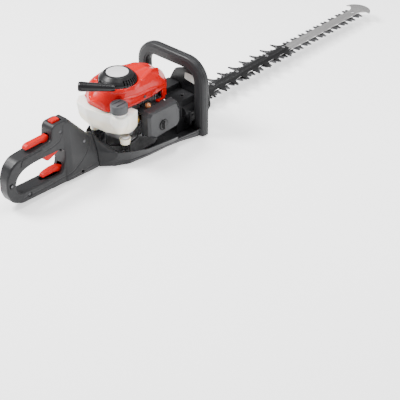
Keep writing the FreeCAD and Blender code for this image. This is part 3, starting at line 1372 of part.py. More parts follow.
def make_front_deck():
    """Bridge from the engine to the front handle: plate, beam and side walls."""
    rear, front, half = S.deck_rear_x, S.deck_front_x, S.deck_half
    plate = Part.makeBox(front - rear, 2 * half, 4, Vector(rear, -half, S.deck_z - 4))
    beam = Part.makeBox(front - rear, 40, 18, Vector(rear, -4, S.deck_z - 2))
    beam = beam.cut(Part.makeBox(front - rear + 2, 34, 14, Vector(rear - 1, -1, S.deck_z - 4)))
    shape = plate.fuse(beam)
    for side in (1, -1):
        wall = Part.makeBox(front - rear, 4, S.deck_z - S.floor_depth - 2,
                            Vector(rear, side * half - (4 if side > 0 else 0), S.floor_depth + 0.02))
        pipe = Part.makeCylinder(15, 50, Vector(rear + 18, side * (half + 1), 60), Vector(1, 0, 0))
        gusset_y = half + 8 if side > 0 else -half - 12
        gusset = prism([(rear + 27, S.front_rim_z + 0.1), (front, S.front_rim_z + 0.1), (front, 70)],
                       gusset_y, gusset_y + 4, "Y")
        rib_y = half if side > 0 else -half - 24
        rib = Part.makeBox(4, 24, 40, Vector(rear + 26, rib_y, S.front_rim_z + 0.1))
        shape = shape.fuse([wall, pipe, gusset, rib])
    shape = shape.cut(Part.makeCylinder(4.5, 20, Vector(189, -36, S.deck_z - 10)))
    opening = Part.makeBox(120, 100, 50, Vector(rear - 20, -50, 3))
    front_wall = Part.makeBox(20, 200, S.front_rim_z + 0.1, Vector(203.9, -100, 0))
    shape = shape.cut(opening.fuse(front_wall))
    leg_x = S.handle_x - S.handle_section_x / 2 - 0.5
    leg_y = S.handle_half - S.handle_section_y / 2 - 0.5
    for side in (1, -1):
        room_y = leg_y if side > 0 else -leg_y - 60
        shape = shape.cut(Part.makeBox(S.handle_section_x + 1, 60, 300, Vector(leg_x, room_y, 0)))
    return node("front_deck", feature("front_deck", shape.removeSplitter()))


def make_swivel_ring():
    """Flanged tube on the base that the rear handle turns about."""
    rear_face = "seam_x + seam_gap / 2"
    neck = cylinder("SwivelNeck", "neck_rad - seat_gap", 24, ("seam_x - 12", 0, "swivel_z"), "X")
    flange = cylinder("SwivelFlange", "collar_rad", 4, ("seam_x - 15.5", 0, "swivel_z"), "X")
    bore = cylinder("SwivelBore", "neck_bore_rad", 40, ("seam_x - 20", 0, "swivel_z"), "X")
    return node("swivel_ring", cut("swivel_ring", fuse("SwivelBlank", neck, flange), bore))


CABLE_ROUTE = ((11, -62.8, 103), (11, -62.8, 84), (2, -60, 60), (-16, -48, 45), (-40, -24, 42),
               (-72, 0, 46), (-108, 0, 46))


def make_throttle_cable():
    """Sheathed cable from the carburettor through the tray to the swivel."""
    return node("throttle_cable", feature("throttle_cable", rounded_pipe(CABLE_ROUTE, 2.2, 14)))


# ---------------------------------------------------------------- rear handle

HANDLE_PROFILE = ((-190, 7), (-336, 13), (-362, 26), (-373, 52), (-373, 88), (-361, 115), (-340, 130),
                  (-300, 133), (-236, 138), (-233, 168), (-225, 176), (-190, 176))
HANDLE_LOOP = ((-343, 43), (-214, 38), (-204, 48), (-199, 72), (-198, 96), (-208, 105), (-300, 104),
               (-326, 99), (-343, 85), (-350, 62))
HANDLE_STATIONS = (
    (-98.25, SEAM_BELL),
    (-112, ((25, 6), (27, 17), (23, 50), (14, 78), (8, 95), (5, 100))),
    (-182, ((22, 7), (25, 22), (25, 80), (22, 130), (20, 168), (14, 176))),
    (-198, ((20, 7), (22, 22), (21, 80), (20, 130), (19, 168), (14, 176))),
)


def handle_solid(margin):
    """Outer form of the rear handle, moved inwards by a margin."""
    sections = []
    for x, corners in HANDLE_STATIONS:
        sections.append(station(shrunk(mirrored(list(corners)), margin), x))
    for point in sections[0]:
        point.x -= 3.5 * margin
    front = loft(sections)
    profile = shrunk(smooth_corners(list(HANDLE_PROFILE), 8, 3), margin)
    bar = prism(profile, -S.grip_half + margin, S.grip_half - margin, "Y")
    loop = prism(shrunk(smooth_corners(list(HANDLE_LOOP), 8, 3), -margin), -60, 60, "Y")
    return front.fuse(bar).cut(loop)


TRIGGER_PIVOT = (-193, 111)
LOCK_PIVOT = (-240, 132)
RELEASE_PIVOT = (-192, 34)
HANDLE_SCREWS = ((-361, 72), (-312, 28), (-150, 18), (-134, 92), (-206, 150))


def make_handle_shell():
    """Hollow handle with its slots, pin bores, swivel bore and screw posts."""
    shape = handle_solid(0).cut(handle_solid(S.shell))
    across = Vector(0, 1, 0)
    for x, z in HANDLE_SCREWS:
        post = Part.makeCylinder(5, 60, Vector(x, -30, z), across)
        shape = shape.fuse(post.common(handle_solid(1)))
    for x, z in HANDLE_SCREWS:
        shape = shape.cut(Part.makeCylinder(S.screw_rad + 0.02, 52, Vector(x, -40, z), across))
        head_start = Vector(x, -S.grip_half - 26, z)
        shape = shape.cut(Part.makeCylinder(S.screw_head_rad + 0.1, 30, head_start, across))
    for x, z in (TRIGGER_PIVOT, LOCK_PIVOT, RELEASE_PIVOT):
        shape = shape.cut(Part.makeCylinder(2.02, 35.2, Vector(x, -17.6, z), across))
    for low, size in HANDLE_SLOTS:
        shape = shape.cut(Part.makeBox(*size, Vector(*low)))
    rear_start = Vector(S.seam_x - 30, 0, S.swivel_z)
    along = Vector(1, 0, 0)
    shape = shape.cut(Part.makeCylinder(S.neck_rad + S.running_fit - S.seat_gap, 60, rear_start, along))
    pin_start = rear_start - Vector(0, 0, S.lock_circle_rad)
    return shape.cut(Part.makeCylinder(S.lock_pin_rad + S.running_fit, 60, pin_start, along))


HANDLE_SLOTS = (
    ((-256, -7.3, 90), (62, 14.6, 25)),
    ((-256, -7.3, 121), (27, 14.6, 30)),
    ((-221.5, -8.3, 168), (29, 16.6, 12)),
    ((-266, -7.3, 24), (86, 14.6, 34)),
)


def make_handle_halves():
    whole = make_handle_shell()
    right = whole.common(Part.makeBox(400, 60, 300, Vector(-400, -60, -10)))
    left = whole.common(Part.makeBox(400, 60, 300, Vector(-400, 0, -10)))
    node("rear_handle_right", feature("rear_handle_right", right.removeSplitter()))
    node("rear_handle_left", feature("rear_handle_left", left.removeSplitter()))


def make_handle_screws():
    """Screws that join the halves, and the pins that the levers turn on."""
    screws = []
    for index, (x, z) in enumerate(HANDLE_SCREWS):
        head = cylinder("HandleHead%d" % index, "screw_head_rad", 2, (x, "-grip_half + 1.95", z), "Y")
        shank = cylinder("HandleShank%d" % index, "screw_rad", 26, (x, "-grip_half + 3", z), "Y")
        screws.append(fuse("HandleScrew%d" % index, head, shank))
    pins = [cylinder("HandlePin%d" % index, 2, 35, (x, -17.5, z), "Y")
            for index, (x, z) in enumerate((TRIGGER_PIVOT, LOCK_PIVOT, RELEASE_PIVOT))]
    return node("handle_screws", group("handle_screws", *screws, *pins))


def lever(label, corners, pivot, half):
    """Flat moulded lever with a bore that turns on its handle pin."""
    shape = prism(smooth_corners(list(corners), 3, 3), -half, half, "Y")
    bore = Part.makeCylinder(2.05, 60, Vector(pivot[0], -30, pivot[1]), Vector(0, 1, 0))
    return node(label, feature(label, shape.cut(bore)))


def make_throttle_trigger():
    corners = ((-251, 97), (-249, 87), (-241, 82), (-230, 85), (-213, 93), (-198, 101), (-187, 105),
               (-186, 116), (-198, 118), (-224, 113), (-243, 107))
    return lever("throttle_trigger", corners, TRIGGER_PIVOT, 7)


def make_throttle_lock():
    corners = ((-306, 139.5), (-304, 147), (-296, 151), (-270, 151), (-236, 151), (-234.5, 146),
               (-235, 126.5), (-246, 126.5), (-250, 134), (-254, 139.5))
    return lever("throttle_lock", corners, LOCK_PIVOT, 7)


def make_release_lever():
    corners = ((-263, 44), (-259, 52), (-246, 55), (-231, 57), (-214, 56), (-202, 50), (-188, 44),
               (-184, 34), (-188, 27), (-196, 27), (-206, 38), (-226, 44), (-248, 44))
    return lever("release_lever", corners, RELEASE_PIVOT, 7)


def make_lock_pin():
    return node("lock_pin", cylinder("lock_pin", "lock_pin_rad", 80,
                                     ("seam_x - 75", 0, "swivel_z - lock_circle_rad"), "X"))


def make_stop_switch():
    rocker = block("SwitchBody", (22, 16, 8), (-221, -8, 171))
    top = block("SwitchTop", (20, 14, 2.5), (-220, -7, 178.5))
    return node("stop_switch", fuse("stop_switch", rocker, top))


def make_soft_grip():
    """Rubber pads on both sides of the grip."""
    pads = []
    corners = ((-332, 109), (-262, 111), (-262, 130), (-328, 127))
    for side in (1, -1):
        pads.append(prism(smooth_corners(list(corners), 8, 3),
                          side * (S.grip_half + 0.02), side * (S.grip_half + 1.2), "Y"))
    return node("soft_grip", feature("soft_grip", Part.makeCompound(pads)))


def make_handle_cable():
    """The cable's last stretch inside the handle, up to the trigger."""
    route = ((-116, 0, 46), (-140, 0, 46), (-160, 0, 70), (-172, 0, 104), (-183, 0, 112))
    return node("handle_cable", feature("handle_cable", rounded_pipe(route, 2.2, 12)))


# ---------------------------------------------------------------- build

PULL_ANGLE = math.radians(37.4)
S.pull_x, S.pull_y = math.cos(PULL_ANGLE), math.sin(PULL_ANGLE)


def make_everything():
    make_blade("upper_blade", "upper_blade_z", "tooth_first_x")
    make_blade("lower_blade", "lower_blade_z", "tooth_first_x + blade_phase")
    makers = (
        make_guide_bar, make_blade_guard, make_bar_bolts, make_drive_gear, make_clutch_drum,
        make_clutch_shoes, make_gear_case, make_gear_case_cover, make_case_screws, make_ball_bearings,
        make_clutch_housing, make_crankshaft, make_connecting_rod, make_piston, make_crankcase,
        make_cylinder, make_spark_plug, make_ignition_coil, make_ignition_lead, make_flywheel,
        make_starter_reel, make_recoil_spring, make_starter_rope, make_starter_grip, make_starter_cover,
        make_starter_badge, make_fan_shroud, make_fuel_tank, make_fuel_cap, make_fuel_line,
        make_intake_manifold, make_carburettor, make_throttle_barrel, make_filter_base,
        make_filter_element, make_filter_cover, make_filter_knob, make_choke_lever, make_primer_bulb,
        make_muffler, make_av_springs, make_spring_cups, make_base_frame, make_front_handle,
        make_hand_guard, make_front_deck, make_swivel_ring, make_throttle_cable, make_handle_halves,
        make_handle_screws, make_throttle_trigger, make_throttle_lock, make_release_lever,
        make_lock_pin, make_stop_switch, make_soft_grip, make_handle_cable,
    )
    for make in makers:
        make()
    doc.recompute()


def check_everything():
    failed = [item.Name for item in doc.Objects if {"Invalid", "Error"} & set(item.State)]
    if failed:
        raise RuntimeError("failed objects: " + ", ".join(failed))
    for item in nodes:
        if item.Shape.isNull() or not item.Shape.isValid() or not item.Shape.Solids:
            raise RuntimeError("bad shape: " + item.Label)


def export_everything():
    os.makedirs("parts", exist_ok=True)
    for item in nodes:
        item.Shape.exportStep("parts/%s.step" % item.Label)
        box = item.Shape.BoundBox
        print("%-18s solids %2d  %8.0f mm3  x %.0f..%.0f y %.0f..%.0f z %.1f..%.1f" % (
            item.Label, len(item.Shape.Solids), item.Shape.Volume,
            box.XMin, box.XMax, box.YMin, box.YMax, box.ZMin, box.ZMax))


make_everything()
check_everything()
export_everything()
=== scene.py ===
import bpy
import bmesh
import json
import math
import numpy as np
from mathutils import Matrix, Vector


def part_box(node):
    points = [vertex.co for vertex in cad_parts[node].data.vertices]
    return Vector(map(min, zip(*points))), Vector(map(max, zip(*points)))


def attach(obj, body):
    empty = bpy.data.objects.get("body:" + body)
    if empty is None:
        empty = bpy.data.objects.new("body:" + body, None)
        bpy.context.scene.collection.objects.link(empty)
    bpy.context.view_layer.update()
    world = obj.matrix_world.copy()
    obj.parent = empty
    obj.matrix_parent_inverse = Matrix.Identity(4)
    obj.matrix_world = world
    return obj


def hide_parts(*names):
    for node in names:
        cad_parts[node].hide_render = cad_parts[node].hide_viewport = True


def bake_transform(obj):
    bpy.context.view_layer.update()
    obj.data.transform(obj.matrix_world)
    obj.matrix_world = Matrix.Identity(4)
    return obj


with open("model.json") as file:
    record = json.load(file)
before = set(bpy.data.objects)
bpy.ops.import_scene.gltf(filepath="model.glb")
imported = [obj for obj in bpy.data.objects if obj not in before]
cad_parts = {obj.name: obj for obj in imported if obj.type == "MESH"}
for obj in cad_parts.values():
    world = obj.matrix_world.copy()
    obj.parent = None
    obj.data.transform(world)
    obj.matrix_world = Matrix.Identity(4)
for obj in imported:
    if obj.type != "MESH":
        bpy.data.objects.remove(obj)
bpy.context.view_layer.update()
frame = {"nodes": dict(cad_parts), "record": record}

MM = 0.001
NODES = frame["nodes"]
BODIES = frame["record"]["behaviour"]["bodies"]
BODY_OF = {node: name for name, members in BODIES.items() for node in members}
SLOT_OF = {row["node"]: row["material_slot"] for row in frame["record"]["subparts"]}


# ---------------------------------------------------------------- materials

class Graph:
    """Shorthand for building a node material."""

    def __init__(self, name):
        self.material = bpy.data.materials.new(name)
        self.material.use_nodes = True
        self.tree = self.material.node_tree
        self.shader = self.tree.nodes["Principled BSDF"]
        self.place = self.add("ShaderNodeTexCoord").outputs["Object"]

    def add(self, kind, **values):
        item = self.tree.nodes.new(kind)
        for key, value in values.items():
            setattr(item, key, value)
        return item

    def link(self, start, end):
        self.tree.links.new(start, end)

    def stretched(self, scale):
        mapping = self.add("ShaderNodeMapping")
        mapping.inputs["Scale"].default_value = scale
        self.link(self.place, mapping.inputs["Vector"])
        return mapping.outputs["Vector"]

    def noise(self, scale, detail=3.0, place=None, rough=0.5):
        item = self.add("ShaderNodeTexNoise")
        item.inputs["Scale"].default_value = scale
        item.inputs["Detail"].default_value = detail
        item.inputs["Roughness"].default_value = rough
        self.link(place or self.place, item.inputs["Vector"])
        return item.outputs["Fac"]

    def span(self, value, low, high, to_low, to_high):
        item = self.add("ShaderNodeMapRange")
        ends = {"From Min": low, "From Max": high, "To Min": to_low, "To Max": to_high}
        for key, number in ends.items():
            item.inputs[key].default_value = number
        self.link(value, item.inputs["Value"])
        return item.outputs["Result"]

    def multiply(self, first, second):
        item = self.add("ShaderNodeMath", operation="MULTIPLY")
        self.link(first, item.inputs[0])
        self.link(second, item.inputs[1])
        return item.outputs["Value"]

    def mix(self, factor, first, second):
        item = self.add("ShaderNodeMix", data_type="RGBA")
        self.link(factor, item.inputs[0])
        for socket, colour in ((item.inputs[6], first), (item.inputs[7], second)):
            if isinstance(colour, tuple):
                socket.default_value = (*colour, 1.0)
            else:
                self.link(colour, socket)
        return item.outputs[2]

    def bump(self, height, strength, depth, under=None):
        item = self.add("ShaderNodeBump")
        item.inputs["Strength"].default_value = strength
        item.inputs["Distance"].default_value = depth
        self.link(height, item.inputs["Height"])
        if under is not None:
            self.link(under, item.inputs["Normal"])
        return item.outputs["Normal"]

    def edges(self, low=0.515, high=0.60):
        """Mask of convex edges, broken up by a noise, where the surface is rubbed."""
        geometry = self.add("ShaderNodeNewGeometry")
        mask = self.span(geometry.outputs["Pointiness"], low, high, 0.0, 1.0)
        return self.multiply(mask, self.span(self.noise(140.0, 4.0), 0.42, 0.62, 0.15, 1.0))


def toned(colour, factor):
    """A colour made darker or brighter."""
    return tuple(min(1.0, part * factor) for part in colour)


def moulded(name, colour, rough, grain, relief, coat=0.0, wear=0.5, tint=None, shine=0.28):
    """Moulded plastic or rubber: mottled tone, fine grain, rubbed edges, uneven gloss."""
    g = Graph(name)
    mottle = g.span(g.noise(9.0, 4.0), 0.3, 0.7, 0.0, 1.0)
    tone = g.mix(mottle, toned(colour, 0.86), tint or toned(colour, 1.10))
    speck = g.span(g.noise(grain * 0.6, 2.0), 0.55, 0.75, 0.0, 0.35)
    tone = g.mix(speck, tone, toned(colour, 1.35))
    rubbed = toned(colour, 1.25 + wear)
    tone = g.mix(g.multiply(g.edges(), g.span(g.noise(30.0), 0.3, 0.7, 0.1, wear)), tone, rubbed)
    g.link(tone, g.shader.inputs["Base Color"])
    smear = g.span(g.noise(22.0, 5.0), 0.3, 0.7, rough - 0.07, rough + 0.09)
    g.link(smear, g.shader.inputs["Roughness"])
    waves = g.bump(g.noise(38.0, 2.0), 0.10, 0.0006)
    g.link(g.bump(g.noise(grain, 2.0), relief, 0.0002, waves), g.shader.inputs["Normal"])
    g.shader.inputs["Coat Weight"].default_value = coat
    g.shader.inputs["Coat Roughness"].default_value = 0.12
    g.shader.inputs["Specular IOR Level"].default_value = shine
    return g.material


def metal(name, colour, rough, along, relief, dirt):
    """Bare metal with fine lines along one direction, stains and brighter edges."""
    g = Graph(name)
    lines = g.noise(6.0, 5.0, g.stretched(along), 0.65)
    stain = g.span(g.noise(18.0, 6.0), 0.42, 0.68, 0.0, dirt)
    tone = g.mix(lines, toned(colour, 0.80), toned(colour, 1.15))
    tone = g.mix(stain, tone, toned(colour, 0.45))
    tone = g.mix(g.edges(), tone, toned(colour, 1.6))
    g.link(tone, g.shader.inputs["Base Color"])
    g.link(g.span(lines, 0.3, 0.7, rough - 0.08, rough + 0.14), g.shader.inputs["Roughness"])
    g.link(g.bump(lines, relief, 0.0002), g.shader.inputs["Normal"])
    g.shader.inputs["Metallic"].default_value = 1.0
    return g.material


def cast_metal(name, colour, rough=0.5):
    """As-cast metal: coarse sand texture and random patches of grime."""
    g = Graph(name)
    grime = g.span(g.noise(25.0, 6.0), 0.4, 0.7, 0.0, 0.5)
    tone = g.mix(grime, colour, toned(colour, 0.45))
    tone = g.mix(g.edges(), tone, toned(colour, 1.3))
    g.link(tone, g.shader.inputs["Base Color"])
    g.link(g.span(g.noise(60.0), 0.3, 0.7, rough - 0.1, rough + 0.12), g.shader.inputs["Roughness"])
    g.link(g.bump(g.noise(700.0, 4.0), 0.45, 0.0004), g.shader.inputs["Normal"])
    g.shader.inputs["Metallic"].default_value = 0.85
    return g.material


def painted_metal(name, colour, rough):
    """Coated steel with chips on its edges down to the bare metal."""
    g = Graph(name)
    chips = g.multiply(g.edges(0.53, 0.62), g.span(g.noise(300.0, 5.0), 0.5, 0.56, 0.0, 1.0))
    tone = g.mix(g.noise(14.0, 4.0), toned(colour, 0.75), toned(colour, 1.35))
    tone = g.mix(chips, tone, (0.35, 0.35, 0.36))
    g.link(tone, g.shader.inputs["Base Color"])
    g.link(chips, g.shader.inputs["Metallic"])
    smear = g.span(g.noise(45.0, 5.0), 0.3, 0.7, rough - 0.08, rough + 0.12)
    g.link(smear, g.shader.inputs["Roughness"])
    g.link(g.bump(g.noise(650.0, 3.0), 0.18, 0.0002), g.shader.inputs["Normal"])
    g.shader.inputs["Specular IOR Level"].default_value = 0.25
    return g.material


def milky_plastic(name, colour, fuel_colour, level):
    """Translucent blow-moulded tank, warmer below the fuel's surface."""
    g = Graph(name)
    height = g.add("ShaderNodeSeparateXYZ")
    g.link(g.place, height.inputs[0])
    filled = g.span(height.outputs["Z"], level - 0.004, level + 0.006, 1.0, 0.0)
    tone = g.mix(filled, colour, fuel_colour)
    tone = g.mix(g.span(g.noise(16.0, 4.0), 0.35, 0.7, 0.0, 0.35), tone, toned(colour, 0.88))
    g.link(tone, g.shader.inputs["Base Color"])
    g.link(g.span(g.noise(30.0, 4.0), 0.3, 0.7, 0.34, 0.50), g.shader.inputs["Roughness"])
    g.link(g.bump(g.noise(420.0, 3.0), 0.15, 0.0002), g.shader.inputs["Normal"])
    g.shader.inputs["Subsurface Weight"].default_value = 0.35
    g.shader.inputs["Subsurface Radius"].default_value = (0.012, 0.009, 0.006)
    return g.material


def clear_amber(name):
    """Clear flexible bulb, tinted by the fuel in it."""
    g = Graph(name)
    tone = g.mix(g.noise(60.0), (0.80, 0.30, 0.10), (0.90, 0.48, 0.22))
    g.link(tone, g.shader.inputs["Base Color"])
    g.link(g.span(g.noise(90.0), 0.3, 0.7, 0.06, 0.16), g.shader.inputs["Roughness"])
    g.link(g.bump(g.noise(200.0), 0.05, 0.0001), g.shader.inputs["Normal"])
    g.shader.inputs["Transmission Weight"].default_value = 0.6
    g.shader.inputs["Coat Weight"].default_value = 0.5
    return g.material


def make_materials():
    """Every finish, by name; each CAD node gets the one its slot names."""
    looks = {
        "dark_plastic": moulded("dark_plastic", (0.016, 0.0162, 0.0175), 0.42, 1300.0, 0.22,
                                wear=0.5, shine=0.22),
        "red_plastic": moulded("red_plastic", (0.48, 0.0010, 0.0005), 0.24, 800.0, 0.05, coat=0.30,
                               wear=0.10, tint=(0.54, 0.0013, 0.0006), shine=0.14),
        "lever_red": moulded("lever_red", (0.46, 0.002, 0.001), 0.38, 1100.0, 0.15, wear=0.15,
                             shine=0.16),
        "filter_grey": moulded("filter_grey", (0.026, 0.0265, 0.0285), 0.44, 1200.0, 0.25,
                               wear=0.4),
        "cap_grey": moulded("cap_grey", (0.055, 0.057, 0.061), 0.45, 1400.0, 0.20, wear=0.4),
        "badge_grey": moulded("badge_grey", (0.56, 0.56, 0.57), 0.28, 500.0, 0.05, coat=0.3,
                              wear=0.1),
        "black_plastic": moulded("black_plastic", (0.006, 0.006, 0.007), 0.30, 1200.0, 0.15,
                                 wear=0.8),
        "tank_plastic": milky_plastic("tank_plastic", (0.86, 0.84, 0.78), (0.84, 0.78, 0.64),
                                      0.118),
        "primer_amber": clear_amber("primer_amber"),
        "black_rubber": moulded("black_rubber", (0.014, 0.014, 0.015), 0.62, 900.0, 0.40, wear=0.6),
        "rope_cord": moulded("rope_cord", (0.05, 0.05, 0.052), 0.85, 2200.0, 0.90, wear=0.2),
        "filter_foam": moulded("filter_foam", (0.16, 0.15, 0.12), 0.95, 500.0, 1.00, wear=0.1),
        "bar_steel": metal("bar_steel", (0.66, 0.65, 0.645), 0.32, (3.0, 160.0, 160.0), 0.15, 0.15),
        # blade_steel: dark steel tone, made darker as painted shade; the shade under the blade
        # guard is painted into the whole blade's colour
        "blade_steel": metal("blade_steel", (0.13, 0.13, 0.135), 0.38, (40.0, 6.0, 40.0), 0.25,
                             0.35),
        "guard_black": painted_metal("guard_black", (0.006, 0.006, 0.0065), 0.46),
        "black_steel": metal("black_steel", (0.060, 0.060, 0.063), 0.38, (60.0, 60.0, 60.0), 0.15,
                             0.30),
        "bolt_steel": metal("bolt_steel", (0.48, 0.48, 0.49), 0.32, (60.0, 60.0, 60.0), 0.15, 0.30),
        "machined_steel": metal("machined_steel", (0.45, 0.45, 0.46), 0.28, (50.0, 50.0, 6.0),
                                0.15, 0.20),
        "cast_aluminium": cast_metal("cast_aluminium", (0.50, 0.50, 0.51)),
        "cover_steel": painted_metal("cover_steel", (0.09, 0.09, 0.095), 0.5),
        "brass_fitting": metal("brass_fitting", (0.62, 0.43, 0.16), 0.30, (8.0, 60.0, 60.0), 0.12,
                               0.25),
        "plug_ceramic": moulded("plug_ceramic", (0.72, 0.72, 0.69), 0.18, 400.0, 0.04, coat=0.5,
                                wear=0.1),
        "label_pale": moulded("label_pale", (0.72, 0.72, 0.68), 0.42, 700.0, 0.05, wear=0.1),
    }
    for node, item in NODES.items():
        item.data.materials.clear()
        item.data.materials.append(looks[SLOT_OF[node]])
    return looks


LOOKS = make_materials()


# ---------------------------------------------------------------- mesh helpers

def new_object(name, mesh):
    item = bpy.data.objects.new(name, mesh)
    bpy.context.scene.collection.objects.link(item)
    return item


def applied(item):
    """Bake an object's modifiers into its mesh."""
    bpy.context.view_layer.update()
    evaluated = item.evaluated_get(bpy.context.evaluated_depsgraph_get())
    mesh = bpy.data.meshes.new_from_object(evaluated)
    item.modifiers.clear()
    item.data = mesh
    return item


def copy_of(node, name):
    """A welded copy of a CAD node's mesh, with its flat faces made whole again."""
    mesh = NODES[node].data.copy()
    work = bmesh.new()
    work.from_mesh(mesh)
    bmesh.ops.remove_doubles(work, verts=work.verts, dist=0.00001)
    bmesh.ops.dissolve_limit(work, angle_limit=math.radians(1.0), verts=work.verts,
                             edges=work.edges)
    bmesh.ops.recalc_face_normals(work, faces=work.faces)
    work.to_mesh(mesh)
    work.free()
    return new_object(name, mesh)


def smooth_shade(item, angle=40):
    """Smooth shading, with the edges sharper than an angle (degrees) kept crisp."""
    mesh = item.data
    mesh.polygons.foreach_set("use_smooth", [True] * len(mesh.polygons))
    mesh.set_sharp_from_angle(angle=math.radians(angle))
    return item


def stands_for(item, node, look=None):
    """Give a new piece its CAD node's body, slot and finish, and hide that node."""
    item.data.materials.clear()
    item.data.materials.append(LOOKS[look or SLOT_OF[node]])
    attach(item, BODY_OF[node])
    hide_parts(node)
    return item


def add_detail(item, body, look):
    """Give a piece that no CAD node stands for its body, slot and finish."""
    item.data.materials.clear()
    item.data.materials.append(LOOKS[look])
    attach(item, body)
    return item


BEVEL_ANGLE = 28
BEVEL_SEGMENTS = 2


def bevelled(node, width):
    """The CAD piece with its edges rounded by a width (mm)."""
    item = copy_of(node, node + "_shape")
    edge = item.modifiers.new("Edge", "BEVEL")
    edge.width = width * MM
    edge.segments = BEVEL_SEGMENTS
    edge.limit_method = "ANGLE"
    edge.angle_limit = math.radians(BEVEL_ANGLE)
    applied(item)
    return stands_for(smooth_shade(item), node)


def relaxed(item, voxel, rounds):
    """Remesh a piece on an even grid (mm), then let its surface relax."""
    grid = item.modifiers.new("Grid", "REMESH")
    grid.mode = "VOXEL"
    grid.voxel_size = voxel * MM
    relax = item.modifiers.new("Relax", "SMOOTH")
    relax.factor = 0.5
    relax.iterations = rounds
    return applied(item)


def softened(node, voxel, rounds, shape=None, look=None):
    """The CAD piece as one flowing moulding: evenly remeshed, then relaxed."""
    item = relaxed(copy_of(node, node + "_shape"), voxel, rounds)
    if shape is not None:
        shape(item)
    item.data.polygons.foreach_set("use_smooth", [True] * len(item.data.polygons))
    return stands_for(item, node, look)


def vertices_of(mesh):
    """Vertex positions in mm, one row each."""
    points = np.zeros(len(mesh.vertices) * 3)
    mesh.vertices.foreach_get("co", points)
    return points.reshape(-1, 3) / MM


def normals_of(mesh):
    normals = np.zeros(len(mesh.vertices) * 3)
    mesh.vertices.foreach_get("normal", normals)
    return normals.reshape(-1, 3)


def write_back(mesh, points):
    """Put moved vertices (mm) back into the mesh."""
    mesh.vertices.foreach_set("co", (points * MM).ravel())
    mesh.update()


def distance_to_path(points, path):
    """Distance of every point from a run of straight lines."""
    nearest = np.full(len(points), 1e9)
    for start, end in zip(path, path[1:]):
        start, end = np.array(start, float), np.array(end, float)
        run = end - start
        share = np.clip(((points - start) @ run) / (run @ run), 0, 1)
        gap = np.linalg.norm(points - (start + share[:, None] * run), axis=1)
        nearest = np.minimum(nearest, gap)
    return nearest


def moved(points, normals, keep, amount):
    """Move the kept points along their normals by an amount each (mm)."""
    return points + normals * np.where(keep, amount, 0.0)[:, None]


def ridge(distance, width, height):
    """Soft-sided ridge (or groove, when the height is negative) over a distance."""
    return height * np.exp(-(distance / width) ** 2)


def ramp(past, length):
    """0 before a ramp, 1 after it, and the share of its length in between."""
    return np.clip(past / length, 0, 1)


def sweep(name, rings):
    """Skin a list of equal rings of points (mm) into a closed mesh."""
    count = len(rings[0])
    points = [tuple(value * MM for value in point) for ring in rings for point in ring]
    faces = []
    for row in range(len(rings) - 1):
        for index in range(count):
            after = (index + 1) % count
            base, top = row * count, (row + 1) * count
            faces.append((base + index, base + after, top + after, top + index))
    faces.append(tuple(range(count))[::-1])
    faces.append(tuple((len(rings) - 1) * count + index for index in range(count)))
    mesh = bpy.data.meshes.new(name)
    mesh.from_pydata(points, [], faces)
    work = bmesh.new()
    work.from_mesh(mesh)
    bmesh.ops.recalc_face_normals(work, faces=work.faces)
    work.to_mesh(mesh)
    work.free()
    return new_object(name, mesh)


# ---------------------------------------------------------------- red engine cover

# Lengths in mm, bearings in degrees round the starter's axis from the blade side.
RIM_ABOVE_NOSE = 26.0
COLLAR_RADIUS = 52.5
COLLAR_FLOOR_Z = 190
REAR_BEARINGS = (128, 258)
REAR_BLENDS = (22, 18)
FLANGE_INNER_RADIUS = 50
FLANGE_RUN = 20
FLANGE_TOP_Z = 197
FLANGE_DROP = 38
FLANGE_SPREAD = 5.0
SPREAD_BELOW_Z = 172
COVER_WALL = 2.4
FLUTE_REAR_X = 116
FLUTE_BELOW_TOP = 30
FLUTE_PITCH = 9.0
FLUTE_DEPTH = 1.3
COVER_MIDDLE = (10.0, 10.0)
COVER_SPARE = 1.5
# Each row is a path, then a width and a height.
TOP_RIDGES = (
    (((40, -42), (80, -29), (120, -16), (150, -11)), 4.2, 3.6),
    (((46, 40), (80, 30), (120, 18), (150, 13)), 4.2, 3.6),
    (((54, 0), (100, 0), (150, 0)), 7.0, -2.0),
)
SIDE_CREASES = (
    (((-40, -44, 176), (0, -54, 172), (60, -53, 168), (112, -44, 158), (138, -24, 154)), 3.0, 2.8),
    (((60, -56, 148), (86, -52, 158), (116, -44, 155)), 3.0, -1.6),
)


def lower_rear(points, outer):
    """Bring the rear of the cover down to a broad flange round the starter."""
    radius = np.hypot(points[:, 0], points[:, 1])
    bearing = np.degrees(np.arctan2(points[:, 1], points[:, 0])) % 360
    first, last = REAR_BEARINGS
    weight = ramp(bearing - first, REAR_BLENDS[0]) * ramp(last - bearing, REAR_BLENDS[1])
    weight = weight * weight * (3 - 2 * weight)
    lower_part = ramp(SPREAD_BELOW_Z - points[:, 2], 22)
    spread = FLANGE_SPREAD * weight * lower_part * ramp(radius - FLANGE_INNER_RADIUS, 8)
    points = points.copy()
    points[:, :2] *= (1 + spread / np.maximum(radius, 1))[:, None]
    run = ramp(radius + spread - FLANGE_INNER_RADIUS, FLANGE_RUN)
    ceiling = FLANGE_TOP_Z - FLANGE_DROP * np.sin(run * math.pi / 2)
    ceiling = ceiling - np.where(outer, 0.0, COVER_WALL)
    lowered = np.minimum(points[:, 2], ceiling)
    outside = ramp(radius - (FLANGE_INNER_RADIUS - 1), 2)
    points[:, 2] += (lowered - points[:, 2]) * weight * outside
    return points


def ridged_top(points, normals, keep):
    """Ridges that run from the starter to the nose, laid out in plan."""
    flat, on_top = points.copy(), keep & (normals[:, 2] > 0.12)
    flat[:, 2] = 0
    for path, width, height in TOP_RIDGES:
        line = [(x, y, 0) for x, y in path]
        points = moved(points, normals, on_top, ridge(distance_to_path(flat, line), width, height))
    return points


